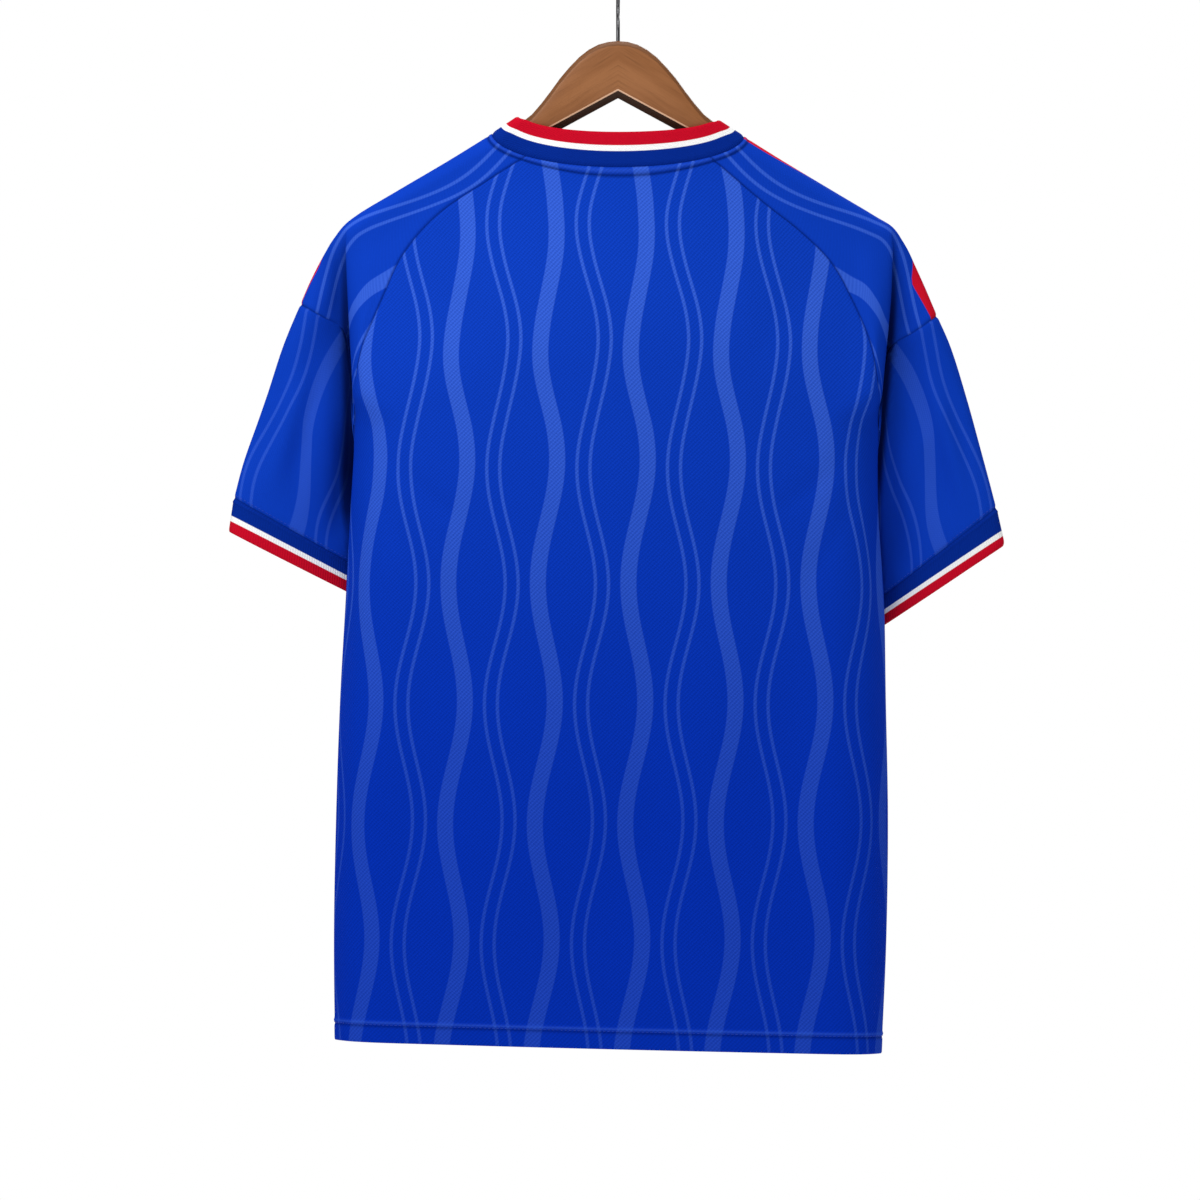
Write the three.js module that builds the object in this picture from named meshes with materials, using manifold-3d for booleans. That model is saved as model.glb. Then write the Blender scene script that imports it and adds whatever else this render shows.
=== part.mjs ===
// A short-sleeved raglan football jersey on a wooden hanger with a steel hook.
// Millimetres. +X is to the right seen from behind, +Y is the wearer's front, +Z is up.
// The origin is inside the top of the hook, where a rail carries the whole.
import * as THREE from "three";
import { mergeVertices } from "three/addons/utils/BufferGeometryUtils.js";
import Module from "manifold-3d";

// Cloth and seams
const WALL = 1.2;
const SEAM_GAP = 0.32;
const NECK_RIDGE = 0.8;
const HEM_RAISE = 0.8;
const HEM_DEPTH = 16;

// Neck: the oval seam between the body and the rib collar, and the collar's top edge
const NECK_HALF_WIDTH = 101;
const NECK_CENTRE_Z = { back: -156, front: -214 };
const NECK_CURVE_POWER = 0.65;
const NECK_TILT = 6;
const JUNCTION_ANGLE = { back: THREE.MathUtils.degToRad(43), front: THREE.MathUtils.degToRad(30) };
const COLLAR_TOP_SCALE = 0.775;
const COLLAR_TOP_SHOULDER_Z = { left: -114.4, right: -117.2 };
const COLLAR_TOP_CENTRE_Z = { back: -127.6, front: -188 };
const COLLAR_LEAN = 3.5;

// Forward sweep of the shoulders, which the contoured hanger gives
const HANGER_TIP_X = 219;
const SWEEP_SATURATION = 0.25;

// Body edge from the shoulder tip to the hem: above the underarm it is the fold between body and sleeve
const BODY_EDGE = [
  { z: -205, leftX: -216.4, rightX: 219.5, fold: 0, depth: 38, sweep: 30 },
  { z: -235, leftX: -216.0, rightX: 217.5, fold: 0.45, depth: 38, sweep: 30 },
  { z: -265, leftX: -215.6, rightX: 215.5, fold: 0.8, depth: 38, sweep: 30 },
  { z: -320, leftX: -215.0, rightX: 212.0, fold: 0.94, depth: 38, sweep: 30 },
  { z: -364, leftX: -214.6, rightX: 210.4, fold: 1, depth: 38, sweep: 30 },
  { z: -430, leftX: -216.6, rightX: 212.4, fold: 1, depth: 39, sweep: 28 },
  { z: -502, leftX: -218.6, rightX: 213.8, fold: 1, depth: 39, sweep: 25 },
  { z: -582, leftX: -223.2, rightX: 215.2, fold: 1, depth: 38, sweep: 22 },
  { z: -678, leftX: -226.4, rightX: 216.8, fold: 1, depth: 36, sweep: 18 },
  { z: -774, leftX: -228.0, rightX: 215.4, fold: 1, depth: 34, sweep: 15 },
  { z: -866, leftX: -227.0, rightX: 211.4, fold: 1, depth: 33, sweep: 13 },
];
const UNDERARM_Z = { left: -362.4, right: -366.4 };
const HEM_Z = { left: -854.4, right: -865.4 };
const BODY_SIDE_ROUNDING = { back: 45, front: 62 };
const SLEEVE_SIDE_ROUNDING = 26;
const BODY_DEPTH_SHARE = { back: 1, front: 0.8 };

// Half depth of the shoulders at the crest, and how far down it grows to the full depth
const SHOULDER_HALF_DEPTH = 12.5;
const SHOULDER_LINE = { x: 101, z: -129.2, slope: 0.6 };
const DEPTH_GROWTH = 190;
const SLEEVE_HALF_DEPTH = { tip: 13, cap: 17, cuff: 19 };
const CREST_ROUNDING = { shoulder: 11, cap: 26 };
const ARMPIT_SLIT = 1.5;
const ARMPIT_DRAW = 0.3;

// Shoulder crest from the collar to the cross seam of the sleeve
const CREST = [
  { leftX: -101.0, leftZ: -129.2, rightX: 101.0, rightZ: -131.4 },
  { leftX: -136.0, leftZ: -150.4, rightX: 132.0, rightZ: -150.4 },
  { leftX: -177.6, leftZ: -174.4, rightX: 172.8, rightZ: -174.4 },
  { leftX: -210.0, leftZ: -193.6, rightX: 207.0, rightZ: -194.4 },
  { leftX: -221.0, leftZ: -202.6, rightX: 219.6, rightZ: -204.4 },
  { leftX: -234.6, leftZ: -222.4, rightX: 231.4, rightZ: -222.6 },
  { leftX: -247.2, leftZ: -246.4, rightX: 244.6, rightZ: -246.4 },
  { leftX: -255.2, leftZ: -264.8, rightX: 256.6, rightZ: -274.2 },
];

// Raglan seams from the neck junction to just above the underarm
const RAGLAN = {
  back: [
    { leftX: -103.2, leftZ: -166.4, rightX: 117.6, rightZ: -185.6 },
    { leftX: -144.8, leftZ: -194.4, rightX: 146.4, rightZ: -208.0 },
    { leftX: -171.2, leftZ: -224.0, rightX: 171.2, rightZ: -232.8 },
    { leftX: -183.2, leftZ: -247.2, rightX: 186.4, rightZ: -260.0 },
    { leftX: -195.2, leftZ: -287.2, rightX: 195.2, rightZ: -289.6 },
    { leftX: -204.0, leftZ: -316.8, rightX: 201.6, rightZ: -320.4 },
  ],
  front: [
    { leftX: -120.0, leftZ: -200.0, rightX: 120.0, rightZ: -203.0 },
    { leftX: -150.0, leftZ: -228.0, rightX: 149.0, rightZ: -231.0 },
    { leftX: -174.0, leftZ: -262.0, rightX: 172.0, rightZ: -265.0 },
    { leftX: -192.0, leftZ: -300.0, rightX: 190.0, rightZ: -303.0 },
    { leftX: -204.0, leftZ: -332.0, rightX: 201.0, rightZ: -335.0 },
  ],
};

// Cross seam of the sleeve between the crest and the underarm: over the cap, then down inside the fold
const CROSS_SEAM = [
  { leftX: -237.5, leftZ: -274.6, rightX: 237.5, rightZ: -287.0 },
  { leftX: -221.0, leftZ: -284.4, rightX: 218.0, rightZ: -300.0 },
  { leftX: -215.8, leftZ: -308.0, rightX: 212.8, rightZ: -320.0 },
];
const CROSS_SEAM_START = 0.4;

// Sleeve below the cross seam: its outer edge, and the underarm seam that lies before the body's side
const SLEEVE_OUTER = [
  { leftX: -267.2, leftY: 29, leftZ: -294.4, rightX: 264.8, rightY: 29, rightZ: -298.4 },
  { leftX: -283.2, leftY: 29, leftZ: -342.4, rightX: 278.4, rightY: 29, rightZ: -342.4 },
  { leftX: -299.2, leftY: 29, leftZ: -390.4, rightX: 291.2, rightY: 29, rightZ: -390.4 },
  { leftX: -306.4, leftY: 29, leftZ: -420.0, rightX: 301.2, rightY: 29, rightZ: -428.0 },
];
const SLEEVE_INNER = [
  { leftX: -217.6, leftY: 42, leftZ: -398.0, rightX: 214.6, rightY: 42, rightZ: -404.0 },
  { leftX: -207.0, leftY: 58, leftZ: -441.0, rightX: 207.0, rightY: 57, rightZ: -457.0 },
  { leftX: -193.0, leftY: 66, leftZ: -485.0, rightX: 197.0, rightY: 64, rightZ: -512.0 },
];
const CUFF_END = {
  outer: { left: new THREE.Vector3(-311.2, 29, -448), right: new THREE.Vector3(308, 29, -458.4) },
  inner: { left: new THREE.Vector3(-186, 68, -512), right: new THREE.Vector3(190, 66, -539) },
};

// Hanger: half of the wooden wishbone's top edge near the hook, and its section
const HANGER_TOP = [
  { x: 0, z: -55.2 },
  { x: 12, z: -56.8 },
  { x: 26, z: -64.0 },
  { x: 43, z: -81.0 },
  { x: 58, z: -101.0 },
  { x: 70, z: -115.0 },
  { x: 84, z: -124.6 },
];
const HANGER_STATIONS = [
  0, 7, 14, 22, 30, 38, 46, 55, 64, 74, 88, 101, 118, 136, 156, 176, 192, 204, 211, 216, HANGER_TIP_X,
];
const HANGER_SECTION = [
  { y: -1, z: -0.34 },
  { y: -1, z: 0.34 },
  { y: -0.72, z: 0.78 },
  { y: -0.3, z: 1 },
  { y: 0.3, z: 1 },
  { y: 0.72, z: 0.78 },
  { y: 1, z: 0.34 },
  { y: 1, z: -0.34 },
  { y: 0.72, z: -0.82 },
  { y: 0.3, z: -1 },
  { y: -0.3, z: -1 },
  { y: -0.72, z: -0.82 },
];
const HANGER_APEX_Z = -94.4;
const HANGER_UNDER_SLOPE = 0.555;
const HANGER_ARM_HEIGHT = 20;
const HANGER_SEAT = 3.7;
const HANGER_HALF_THICKNESS = { middle: 7, tip: 9.6 };
const HANGER_TIP_ROUNDING = 16;
const HOOK_WIRE = 3;
const HOOK_RADIUS = 20;
const HOOK_ARC = { tip: THREE.MathUtils.degToRad(205), end: THREE.MathUtils.degToRad(-62), steps: 20 };
const HOOK_STEPS = 34;
const HOOK_SEAT_DEPTH = 14;
const HOOK_CLEARANCE = 0.4;
const HUMP_Z = -55.2;

// Mesh counts
const PANEL_SIDE_STEPS = 5;
const PANEL_MIDDLE_STEPS = 17;
const RING_HALF_STEPS = 11;
const RING_END_DENSITY = 0.75;
const RAGLAN_STEPS = 9;
const SIDE_STEPS = 12;
const SLEEVE_STEPS = 8;
const CUFF_STEPS = 2;
const COLLAR_STEPS = 2;

const SIDES = ["left", "right"];
const FACES = ["back", "front"];
const FACE_SIGN = { back: -1, front: 1 };
const SIDE_SIGN = { left: -1, right: 1 };
const mix = THREE.MathUtils.lerp;
const smooth = (value) => THREE.MathUtils.smoothstep(value, 0, 1);

// Quarter-round from 0 at an edge to 1 at the end of its rounding
function rounding(distance, reach) {
  const rest = 1 - THREE.MathUtils.clamp(distance / reach, 0, 1);
  return Math.sqrt(1 - rest * rest);
}

// Smooth reading of one column of a table whose rows run down in z
function column(rows, key, name, at) {
  const last = rows.length - 1;
  let row = 0;
  while (row < last - 1 && at < rows[row + 1][key]) {
    row += 1;
  }
  const slope = (index) => {
    const above = rows[Math.max(index - 1, 0)];
    const below = rows[Math.min(index + 1, last)];
    return (below[name] - above[name]) / (below[key] - above[key]);
  };
  const start = rows[row];
  const end = rows[row + 1];
  const span = end[key] - start[key];
  const u = THREE.MathUtils.clamp((at - start[key]) / span, 0, 1);
  const rise = (2 * u ** 3 - 3 * u ** 2 + 1) * start[name] + (3 * u ** 2 - 2 * u ** 3) * end[name];
  const lean = (u ** 3 - 2 * u ** 2 + u) * slope(row) + (u ** 3 - u ** 2) * slope(row + 1);
  return rise + lean * span;
}

const sideOf = (x) => (x < 0 ? "left" : "right");
const edgeX = (side, z) => column(BODY_EDGE, "z", `${side}X`, z);

// The sheet's middle surface: flat at the centre, swept forward towards the shoulder tips
function sweepY(x, z) {
  const reach = (x / HANGER_TIP_X) ** 2;
  return (column(BODY_EDGE, "z", "sweep", z) * reach) / (1 + SWEEP_SATURATION * reach * reach);
}

// Depth of the hollow at a place, from the middle surface to one face, before the crest rounds it off
function halfDepth(face, x, z) {
  const edge = Math.abs(edgeX(sideOf(x), z));
  const shoulder = SHOULDER_LINE.z - SHOULDER_LINE.slope * Math.max(0, Math.abs(x) - SHOULDER_LINE.x);
  const grown = smooth((shoulder - z) / DEPTH_GROWTH);
  const grownDepth = column(BODY_EDGE, "z", "depth", z) * BODY_DEPTH_SHARE[face];
  const body = mix(SHOULDER_HALF_DEPTH, grownDepth, grown);
  const sleeve = mix(SLEEVE_HALF_DEPTH.tip, SLEEVE_HALF_DEPTH.cap, smooth((-200 - z) / 60));
  const outside = Math.abs(x) - edge;
  const full = mix(body, sleeve, smooth((outside + 16) / 32));
  const reach = outside < 0 ? BODY_SIDE_ROUNDING[face] : SLEEVE_SIDE_ROUNDING;
  const fold = Math.min(column(BODY_EDGE, "z", "fold", z), 1);
  return full * (1 - fold * (1 - rounding(Math.abs(outside), reach)));
}

// A place on the back or front of the garment
function onFace(face, x, z, crest = 1) {
  return new THREE.Vector3(x, sweepY(x, z) + FACE_SIGN[face] * halfDepth(face, x, z) * crest, z);
}

// Height of the neck seam at an angle from the shoulder crest round to the centre
function neckSeam(side, face, angle) {
  const x = SIDE_SIGN[side] * NECK_HALF_WIDTH * Math.cos(angle);
  const crestZ = CREST[0][`${side}Z`];
  const dip = Math.sin(angle) ** NECK_CURVE_POWER;
  const tilt = face === "back" ? NECK_TILT * (x / NECK_HALF_WIDTH) * Math.sin(2 * angle) : 0;
  return { x, z: mix(crestZ, NECK_CENTRE_Z[face], dip) - tilt };
}

function neckSeamAtX(face, x) {
  return neckSeam(sideOf(x), face, Math.acos(Math.abs(x) / NECK_HALF_WIDTH)).z;
}

function underarm(side) {
  const z = UNDERARM_Z[side];
  return new THREE.Vector3(edgeX(side, z), sweepY(edgeX(side, z), z), z);
}

function tablePoint(row, side) {
  return new THREE.Vector3(row[`${side}X`], row[`${side}Y`] ?? 0, row[`${side}Z`]);
}

const smoothPath = (points) => new THREE.CatmullRomCurve3(points, false, "centripetal");
const flat = (point) => new THREE.Vector3(point.x, 0, point.z);

const crestPath = {};
const raglanPath = { back: {}, front: {} };
const crossPath = {};
const sleeveOuter = {};
const sleeveInner = {};
for (const side of SIDES) {
  crestPath[side] = smoothPath(CREST.map((row) => tablePoint(row, side)));
  for (const face of FACES) {
    const junction = neckSeam(side, face, JUNCTION_ANGLE[face]);
    const seam = RAGLAN[face].map((row) => tablePoint(row, side));
    raglanPath[face][side] = smoothPath([flat(junction), ...seam, flat(underarm(side))]);
  }
  const crestEnd = tablePoint(CREST[CREST.length - 1], side);
  const cross = CROSS_SEAM.map((row) => tablePoint(row, side));
  crossPath[side] = smoothPath([crestEnd.clone(), ...cross, flat(underarm(side))]);
  crestEnd.y = sweepY(crestEnd.x, crestEnd.z);
  sleeveOuter[side] = smoothPath([crestEnd, ...SLEEVE_OUTER.map((row) => tablePoint(row, side))]);
  sleeveInner[side] = smoothPath([underarm(side), ...SLEEVE_INNER.map((row) => tablePoint(row, side))]);
}

// Rows of the raglan part: the two edges of the neck ridge first, then steps down to the underarm
const RAGLAN_ROWS = [0, 0.024, 0.029];
for (let step = 1; step <= RAGLAN_STEPS; step += 1) {
  RAGLAN_ROWS.push(mix(RAGLAN_ROWS[2], 1, (step / RAGLAN_STEPS) ** 0.92));
}

// Shares of the way across a panel, close together where its sides round away
function panelShares() {
  const width = 2 * HANGER_TIP_X;
  const start = BODY_SIDE_ROUNDING.back / width;
  const shares = [];
  for (let step = 0; step < PANEL_SIDE_STEPS; step += 1) {
    const angle = ((step / PANEL_SIDE_STEPS) * Math.PI) / 2;
    shares.push(start * (1 - Math.cos(angle)));
  }
  for (let step = 0; step <= PANEL_MIDDLE_STEPS; step += 1) {
    shares.push(mix(start, 1 - start, step / PANEL_MIDDLE_STEPS));
  }
  for (let step = PANEL_SIDE_STEPS - 1; step >= 0; step -= 1) {
    shares.push(1 - shares[step]);
  }
  return shares;
}

// Share of the way from the crest to a seam, close together at both ends
function ringShare(step) {
  const even = step / RING_HALF_STEPS;
  return mix(even, 0.5 - 0.5 * Math.cos(Math.PI * even), RING_END_DENSITY);
}

// Back or front panel: neck seam and raglan seams above, side seams and hem below
function panelGrid(face) {
  const shares = panelShares();
  const grid = [];
  const neckLeft = raglanPath[face].left.getPointAt(0);
  const neckRight = raglanPath[face].right.getPointAt(0);
  for (const t of RAGLAN_ROWS) {
    const left = raglanPath[face].left.getPointAt(t);
    const right = raglanPath[face].right.getPointAt(t);
    grid.push(shares.map((share) => {
      const x = mix(left.x, right.x, share);
      const neckX = mix(neckLeft.x, neckRight.x, share);
      const sag = neckSeamAtX(face, neckX) - mix(neckLeft.z, neckRight.z, share);
      return onFace(face, x, mix(left.z, right.z, share) + sag * (1 - t) ** 2);
    }));
  }
  const open = grid[grid.length - 1];
  for (const end of [open[0], open[open.length - 1]]) {
    end.y += FACE_SIGN[face] * ARMPIT_SLIT;
  }
  const hemShare = HEM_DEPTH / (UNDERARM_Z.left - HEM_Z.left);
  const rows = [];
  for (let step = 1; step <= SIDE_STEPS; step += 1) {
    rows.push((step / SIDE_STEPS) * (1 - hemShare));
  }
  rows.push(1 - hemShare * 0.96, 1);
  for (const row of rows) {
    grid.push(shares.map((share) => {
      const leftZ = mix(UNDERARM_Z.left, HEM_Z.left, row);
      const rightZ = mix(UNDERARM_Z.right, HEM_Z.right, row);
      const x = mix(edgeX("left", leftZ), edgeX("right", rightZ), share);
      return onFace(face, x, mix(leftZ, rightZ, share));
    }));
  }
  return grid;
}

// One place on a yoke ring, from the crest at share 0 to the raglan seam at share 1
function yokePoint(side, face, t, share) {
  const crest = crestPath[side].getPointAt(t);
  const along = crestPath[side].getTangentAt(t);
  const seam = raglanPath[face][side].getPointAt(t);
  const place = crest.clone().lerp(seam, share);
  const neckCrest = crestPath[side].getPointAt(0);
  const neckChord = neckCrest.clone().lerp(raglanPath[face][side].getPointAt(0), share);
  const onNeck = neckSeam(side, face, JUNCTION_ANGLE[face] * share);
  const bend = (1 - t) ** 4;
  place.x += (onNeck.x - neckChord.x) * bend;
  place.z += (onNeck.z - neckChord.z) * bend;
  const onCross = crossPath[side].getPointAt(share);
  const crossChord = crossPath[side].getPointAt(0).lerp(crossPath[side].getPointAt(1), share);
  place.addScaledVector(onCross.sub(crossChord), smooth((t - CROSS_SEAM_START) / (1 - CROSS_SEAM_START)));
  const away = flat(place.clone().sub(crest)).cross(along).length();
  const reach = mix(CREST_ROUNDING.shoulder, CREST_ROUNDING.cap, smooth((t - 0.55) / 0.45));
  return onFace(face, place.x, place.z, rounding(away, reach));
}

// Shoulder yoke: rings from the neck seam to the cross seam, each from back seam over crest to front seam
function yokeGrid(side) {
  return RAGLAN_ROWS.map((t) => {
    const ring = [];
    for (let step = RING_HALF_STEPS; step > 0; step -= 1) {
      ring.push(yokePoint(side, "back", t, ringShare(step)));
    }
    for (let step = 0; step <= RING_HALF_STEPS; step += 1) {
      ring.push(yokePoint(side, "front", t, ringShare(step)));
    }
    if (t === 1) {
      const last = ring.length - 1;
      ring[0].y -= ARMPIT_SLIT;
      ring[0].lerp(ring[1], ARMPIT_DRAW);
      ring[last].y += ARMPIT_SLIT;
      ring[last].lerp(ring[last - 1], ARMPIT_DRAW);
    }
    return ring;
  });
}

// One ring of the sleeve tube between its outer and inner edge; settle turns the yoke's ring into an oval
function tubeRing(side, outer, inner, halfThickness, settle) {
  const across = inner.clone().sub(outer).normalize();
  const facing = new THREE.Vector3(0, 1, 0);
  facing.addScaledVector(across, -facing.dot(across)).normalize();
  const ring = [];
  const steps = 2 * RING_HALF_STEPS;
  for (let step = 0; step < steps; step += 1) {
    const face = step < RING_HALF_STEPS ? "back" : "front";
    const share = ringShare(Math.abs(RING_HALF_STEPS - step));
    const straight = outer.clone().lerp(inner, share);
    const oval = straight.clone();
    oval.addScaledVector(facing, FACE_SIGN[face] * halfThickness * 2 * Math.sqrt(share * (1 - share)));
    const cross = yokePoint(side, face, 1, share);
    const chord = sleeveOuter[side].getPoint(0).lerp(sleeveInner[side].getPoint(0), share);
    const bent = straight.add(cross).sub(chord);
    ring.push(bent.lerp(oval, settle));
  }
  return ring;
}

function sleeveGrid(side) {
  const grid = [];
  for (let step = 0; step <= SLEEVE_STEPS; step += 1) {
    const t = step / SLEEVE_STEPS;
    const half = mix(SLEEVE_HALF_DEPTH.cap, SLEEVE_HALF_DEPTH.cuff, t);
    const outer = sleeveOuter[side].getPointAt(t);
    const inner = sleeveInner[side].getPointAt(t);
    grid.push(tubeRing(side, outer, inner, half, smooth(t / 0.45)));
  }
  grid[0][0].lerp(grid[1][0], ARMPIT_DRAW / 2);
  return grid;
}

function cuffGrid(side) {
  const grid = [];
  const outerTop = sleeveOuter[side].getPointAt(1);
  const innerTop = sleeveInner[side].getPointAt(1);
  for (let step = 0; step <= CUFF_STEPS; step += 1) {
    const t = step / CUFF_STEPS;
    const outer = outerTop.clone().lerp(CUFF_END.outer[side], t);
    const inner = innerTop.clone().lerp(CUFF_END.inner[side], t);
    grid.push(tubeRing(side, outer, inner, SLEEVE_HALF_DEPTH.cuff, 1));
  }
  return grid;
}

// The whole neck seam as one closed loop, from the top rows of the panels and yokes
function neckLoop(grids) {
  const leftYoke = grids.yoke_left[0];
  const rightYoke = grids.yoke_right[0];
  const back = grids.back_panel[0];
  const front = grids.front_panel[0];
  const loop = [];
  loop.push(...[...leftYoke].reverse().slice(0, -1));
  loop.push(...back.slice(0, -1));
  loop.push(...rightYoke.slice(0, -1));
  loop.push(...[...front].reverse().slice(0, -1));
  return loop;
}

// Rib collar: a band that stands on the neck seam and leans in to its smaller top edge
function collarGrid(loop) {
  const top = loop.map((seam) => {
    const side = sideOf(seam.x);
    const face = seam.y < sweepY(seam.x, seam.z) ? "back" : "front";
    const span = THREE.MathUtils.clamp(Math.abs(seam.x) / NECK_HALF_WIDTH, 0, 1);
    const dip = Math.sin(Math.acos(span)) ** NECK_CURVE_POWER;
    const x = seam.x * COLLAR_TOP_SCALE;
    const z = mix(COLLAR_TOP_SHOULDER_Z[side], COLLAR_TOP_CENTRE_Z[face], dip);
    const middle = sweepY(x, z);
    const half = Math.abs(seam.y - sweepY(seam.x, seam.z)) - COLLAR_LEAN * dip;
    return new THREE.Vector3(x, middle + FACE_SIGN[face] * half, z);
  });
  const grid = [];
  for (let step = 0; step <= COLLAR_STEPS; step += 1) {
    const t = step / COLLAR_STEPS;
    grid.push(loop.map((seam, index) => seam.clone().lerp(top[index], t)));
  }
  return grid;
}

// Normals of a grid of points, pointing out of the garment
function gridNormals(grid, closed, turn) {
  return grid.map((row, i) => row.map((point, j) => {
    const count = row.length;
    const before = closed ? row[(j + count - 1) % count] : row[Math.max(j - 1, 0)];
    const after = closed ? row[(j + 1) % count] : row[Math.min(j + 1, count - 1)];
    const above = grid[Math.max(i - 1, 0)][j];
    const below = grid[Math.min(i + 1, grid.length - 1)][j];
    const across = after.clone().sub(before);
    const down = below.clone().sub(above);
    return down.cross(across).multiplyScalar(turn).normalize();
  }));
}

const placeKey = (point) => [point.x, point.y, point.z].map((value) => value.toFixed(2)).join(" ");

// Adds up the normals of pieces that share a seam, so that their walls run on into each other
function shareNormals(pieces) {
  const sums = new Map();
  for (const piece of pieces) {
    piece.grid.forEach((row, i) => row.forEach((point, j) => {
      const key = placeKey(point);
      const sum = sums.get(key) ?? new THREE.Vector3();
      sums.set(key, sum.add(piece.normals[i][j]));
    }));
  }
  for (const piece of pieces) {
    piece.normals = piece.grid.map((row, i) => row.map((point, j) => {
      const own = piece.normals[i][j];
      const shared = sums.get(placeKey(point)).clone().normalize();
      return shared.dot(own) > 0.5 ? shared : own;
    }));
  }
}

// Way in from an edge of the grid, square to that edge
function inward(grid, i, j, di, dj, closed) {
  const row = grid[i];
  const count = row.length;
  const wrapped = (index) => (closed ? (index + count) % count : THREE.MathUtils.clamp(index, 0, count - 1));
  const next = grid[i + di][wrapped(j + dj)];
  const way = next.clone().sub(row[j]);
  let edge;
  if (di !== 0) {
    edge = row[wrapped(j + 1)].clone().sub(row[wrapped(j - 1)]);
  } else {
    const above = grid[Math.max(i - 1, 0)][j];
    const below = grid[Math.min(i + 1, grid.length - 1)][j];
    edge = below.clone().sub(above);
  }
  edge.normalize();
  return way.addScaledVector(edge, -way.dot(edge)).normalize();
}

// Draws a layer's sewn edges back by half the seam gap
function trimmed(layer, closed) {
  const last = layer.length - 1;
  return layer.map((row, i) => row.map((point, j) => {
    const moved = point.clone();
    if (i === 0) {
      moved.addScaledVector(inward(layer, i, j, 1, 0, closed), SEAM_GAP / 2);
    }
    if (i === last) {
      moved.addScaledVector(inward(layer, i, j, -1, 0, closed), SEAM_GAP / 2);
    }
    if (!closed && j === 0) {
      moved.addScaledVector(inward(layer, i, j, 0, 1, closed), SEAM_GAP / 2);
    }
    if (!closed && j === row.length - 1) {
      moved.addScaledVector(inward(layer, i, j, 0, -1, closed), SEAM_GAP / 2);
    }
    return moved;
  }));
}

// A closed wall between an outer and an inner layer of points
function wallGeometry(outer, inner, closed, turn) {
  const rows = outer.length;
  const columns = outer[0].length;
  const points = [...outer.flat(), ...inner.flat()];
  const layerSize = rows * columns;
  const triangles = [];
  const quad = (a, b, c, d, out) => {
    const order = out > 0 ? [a, b, c, a, c, d] : [a, c, b, a, d, c];
    triangles.push(...order);
  };
  const spans = closed ? columns : columns - 1;
  const at = (i, j) => i * columns + (j % columns);
  for (let i = 0; i < rows - 1; i += 1) {
    for (let j = 0; j < spans; j += 1) {
      quad(at(i, j), at(i + 1, j), at(i + 1, j + 1), at(i, j + 1), turn);
      quad(
        layerSize + at(i, j), layerSize + at(i + 1, j),
        layerSize + at(i + 1, j + 1), layerSize + at(i, j + 1), -turn,
      );
    }
  }
  for (let j = 0; j < spans; j += 1) {
    quad(at(0, j), at(0, j + 1), layerSize + at(0, j + 1), layerSize + at(0, j), turn);
    const end = rows - 1;
    quad(at(end, j), at(end, j + 1), layerSize + at(end, j + 1), layerSize + at(end, j), -turn);
  }
  if (!closed) {
    const end = columns - 1;
    for (let i = 0; i < rows - 1; i += 1) {
      quad(at(i, 0), at(i + 1, 0), layerSize + at(i + 1, 0), layerSize + at(i, 0), -turn);
      quad(at(i, end), at(i + 1, end), layerSize + at(i + 1, end), layerSize + at(i, end), turn);
    }
  }
  return meshGeometry(points, triangles);
}

function meshGeometry(points, triangles) {
  const geometry = new THREE.BufferGeometry();
  geometry.setAttribute("position", new THREE.Float32BufferAttribute(points.flatMap((p) => p.toArray()), 3));
  geometry.setIndex(triangles);
  return geometry;
}

function clothMesh(piece) {
  const { grid, normals, closed, turn } = piece;
  const lift = piece.lift ?? (() => 0);
  const layer = (distance) => grid.map((row, i) => row.map((point, j) => (
    point.clone().addScaledVector(normals[i][j], distance + (distance < 0 ? 0 : lift(i)))
  )));
  const outer = trimmed(layer(0), closed);
  const inner = trimmed(layer(-WALL), closed);
  return namedMesh(piece.name, wallGeometry(outer, inner, closed, turn), piece.material);
}

function namedMesh(name, geometry, material) {
  geometry.computeVertexNormals();
  const mesh = new THREE.Mesh(geometry, material);
  mesh.name = name;
  return mesh;
}

// Height of a curve over a distance from the middle, on a curve that runs outwards all the way
function heightAt(curve, distance) {
  let low = 0;
  let high = 1;
  for (let round = 0; round < 30; round += 1) {
    const t = (low + high) / 2;
    if (Math.abs(curve.getPointAt(t).x) < distance) {
      low = t;
    } else {
      high = t;
    }
  }
  return curve.getPointAt(low).z;
}

const humpPath = smoothPath(HANGER_TOP.map((row) => new THREE.Vector3(row.x, 0, row.z)));

// Top edge of the wood: its own hump near the hook, then close under the cloth's shoulder crest
function woodTop(side, distance) {
  const humpEnd = HANGER_TOP[HANGER_TOP.length - 1];
  if (distance <= humpEnd.x) {
    return heightAt(humpPath, distance);
  }
  const seated = heightAt(crestPath[side], Math.max(distance, NECK_HALF_WIDTH)) - HANGER_SEAT;
  const share = Math.min((distance - humpEnd.x) / (NECK_HALF_WIDTH - humpEnd.x), 1);
  return mix(humpEnd.z, seated, share);
}

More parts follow.
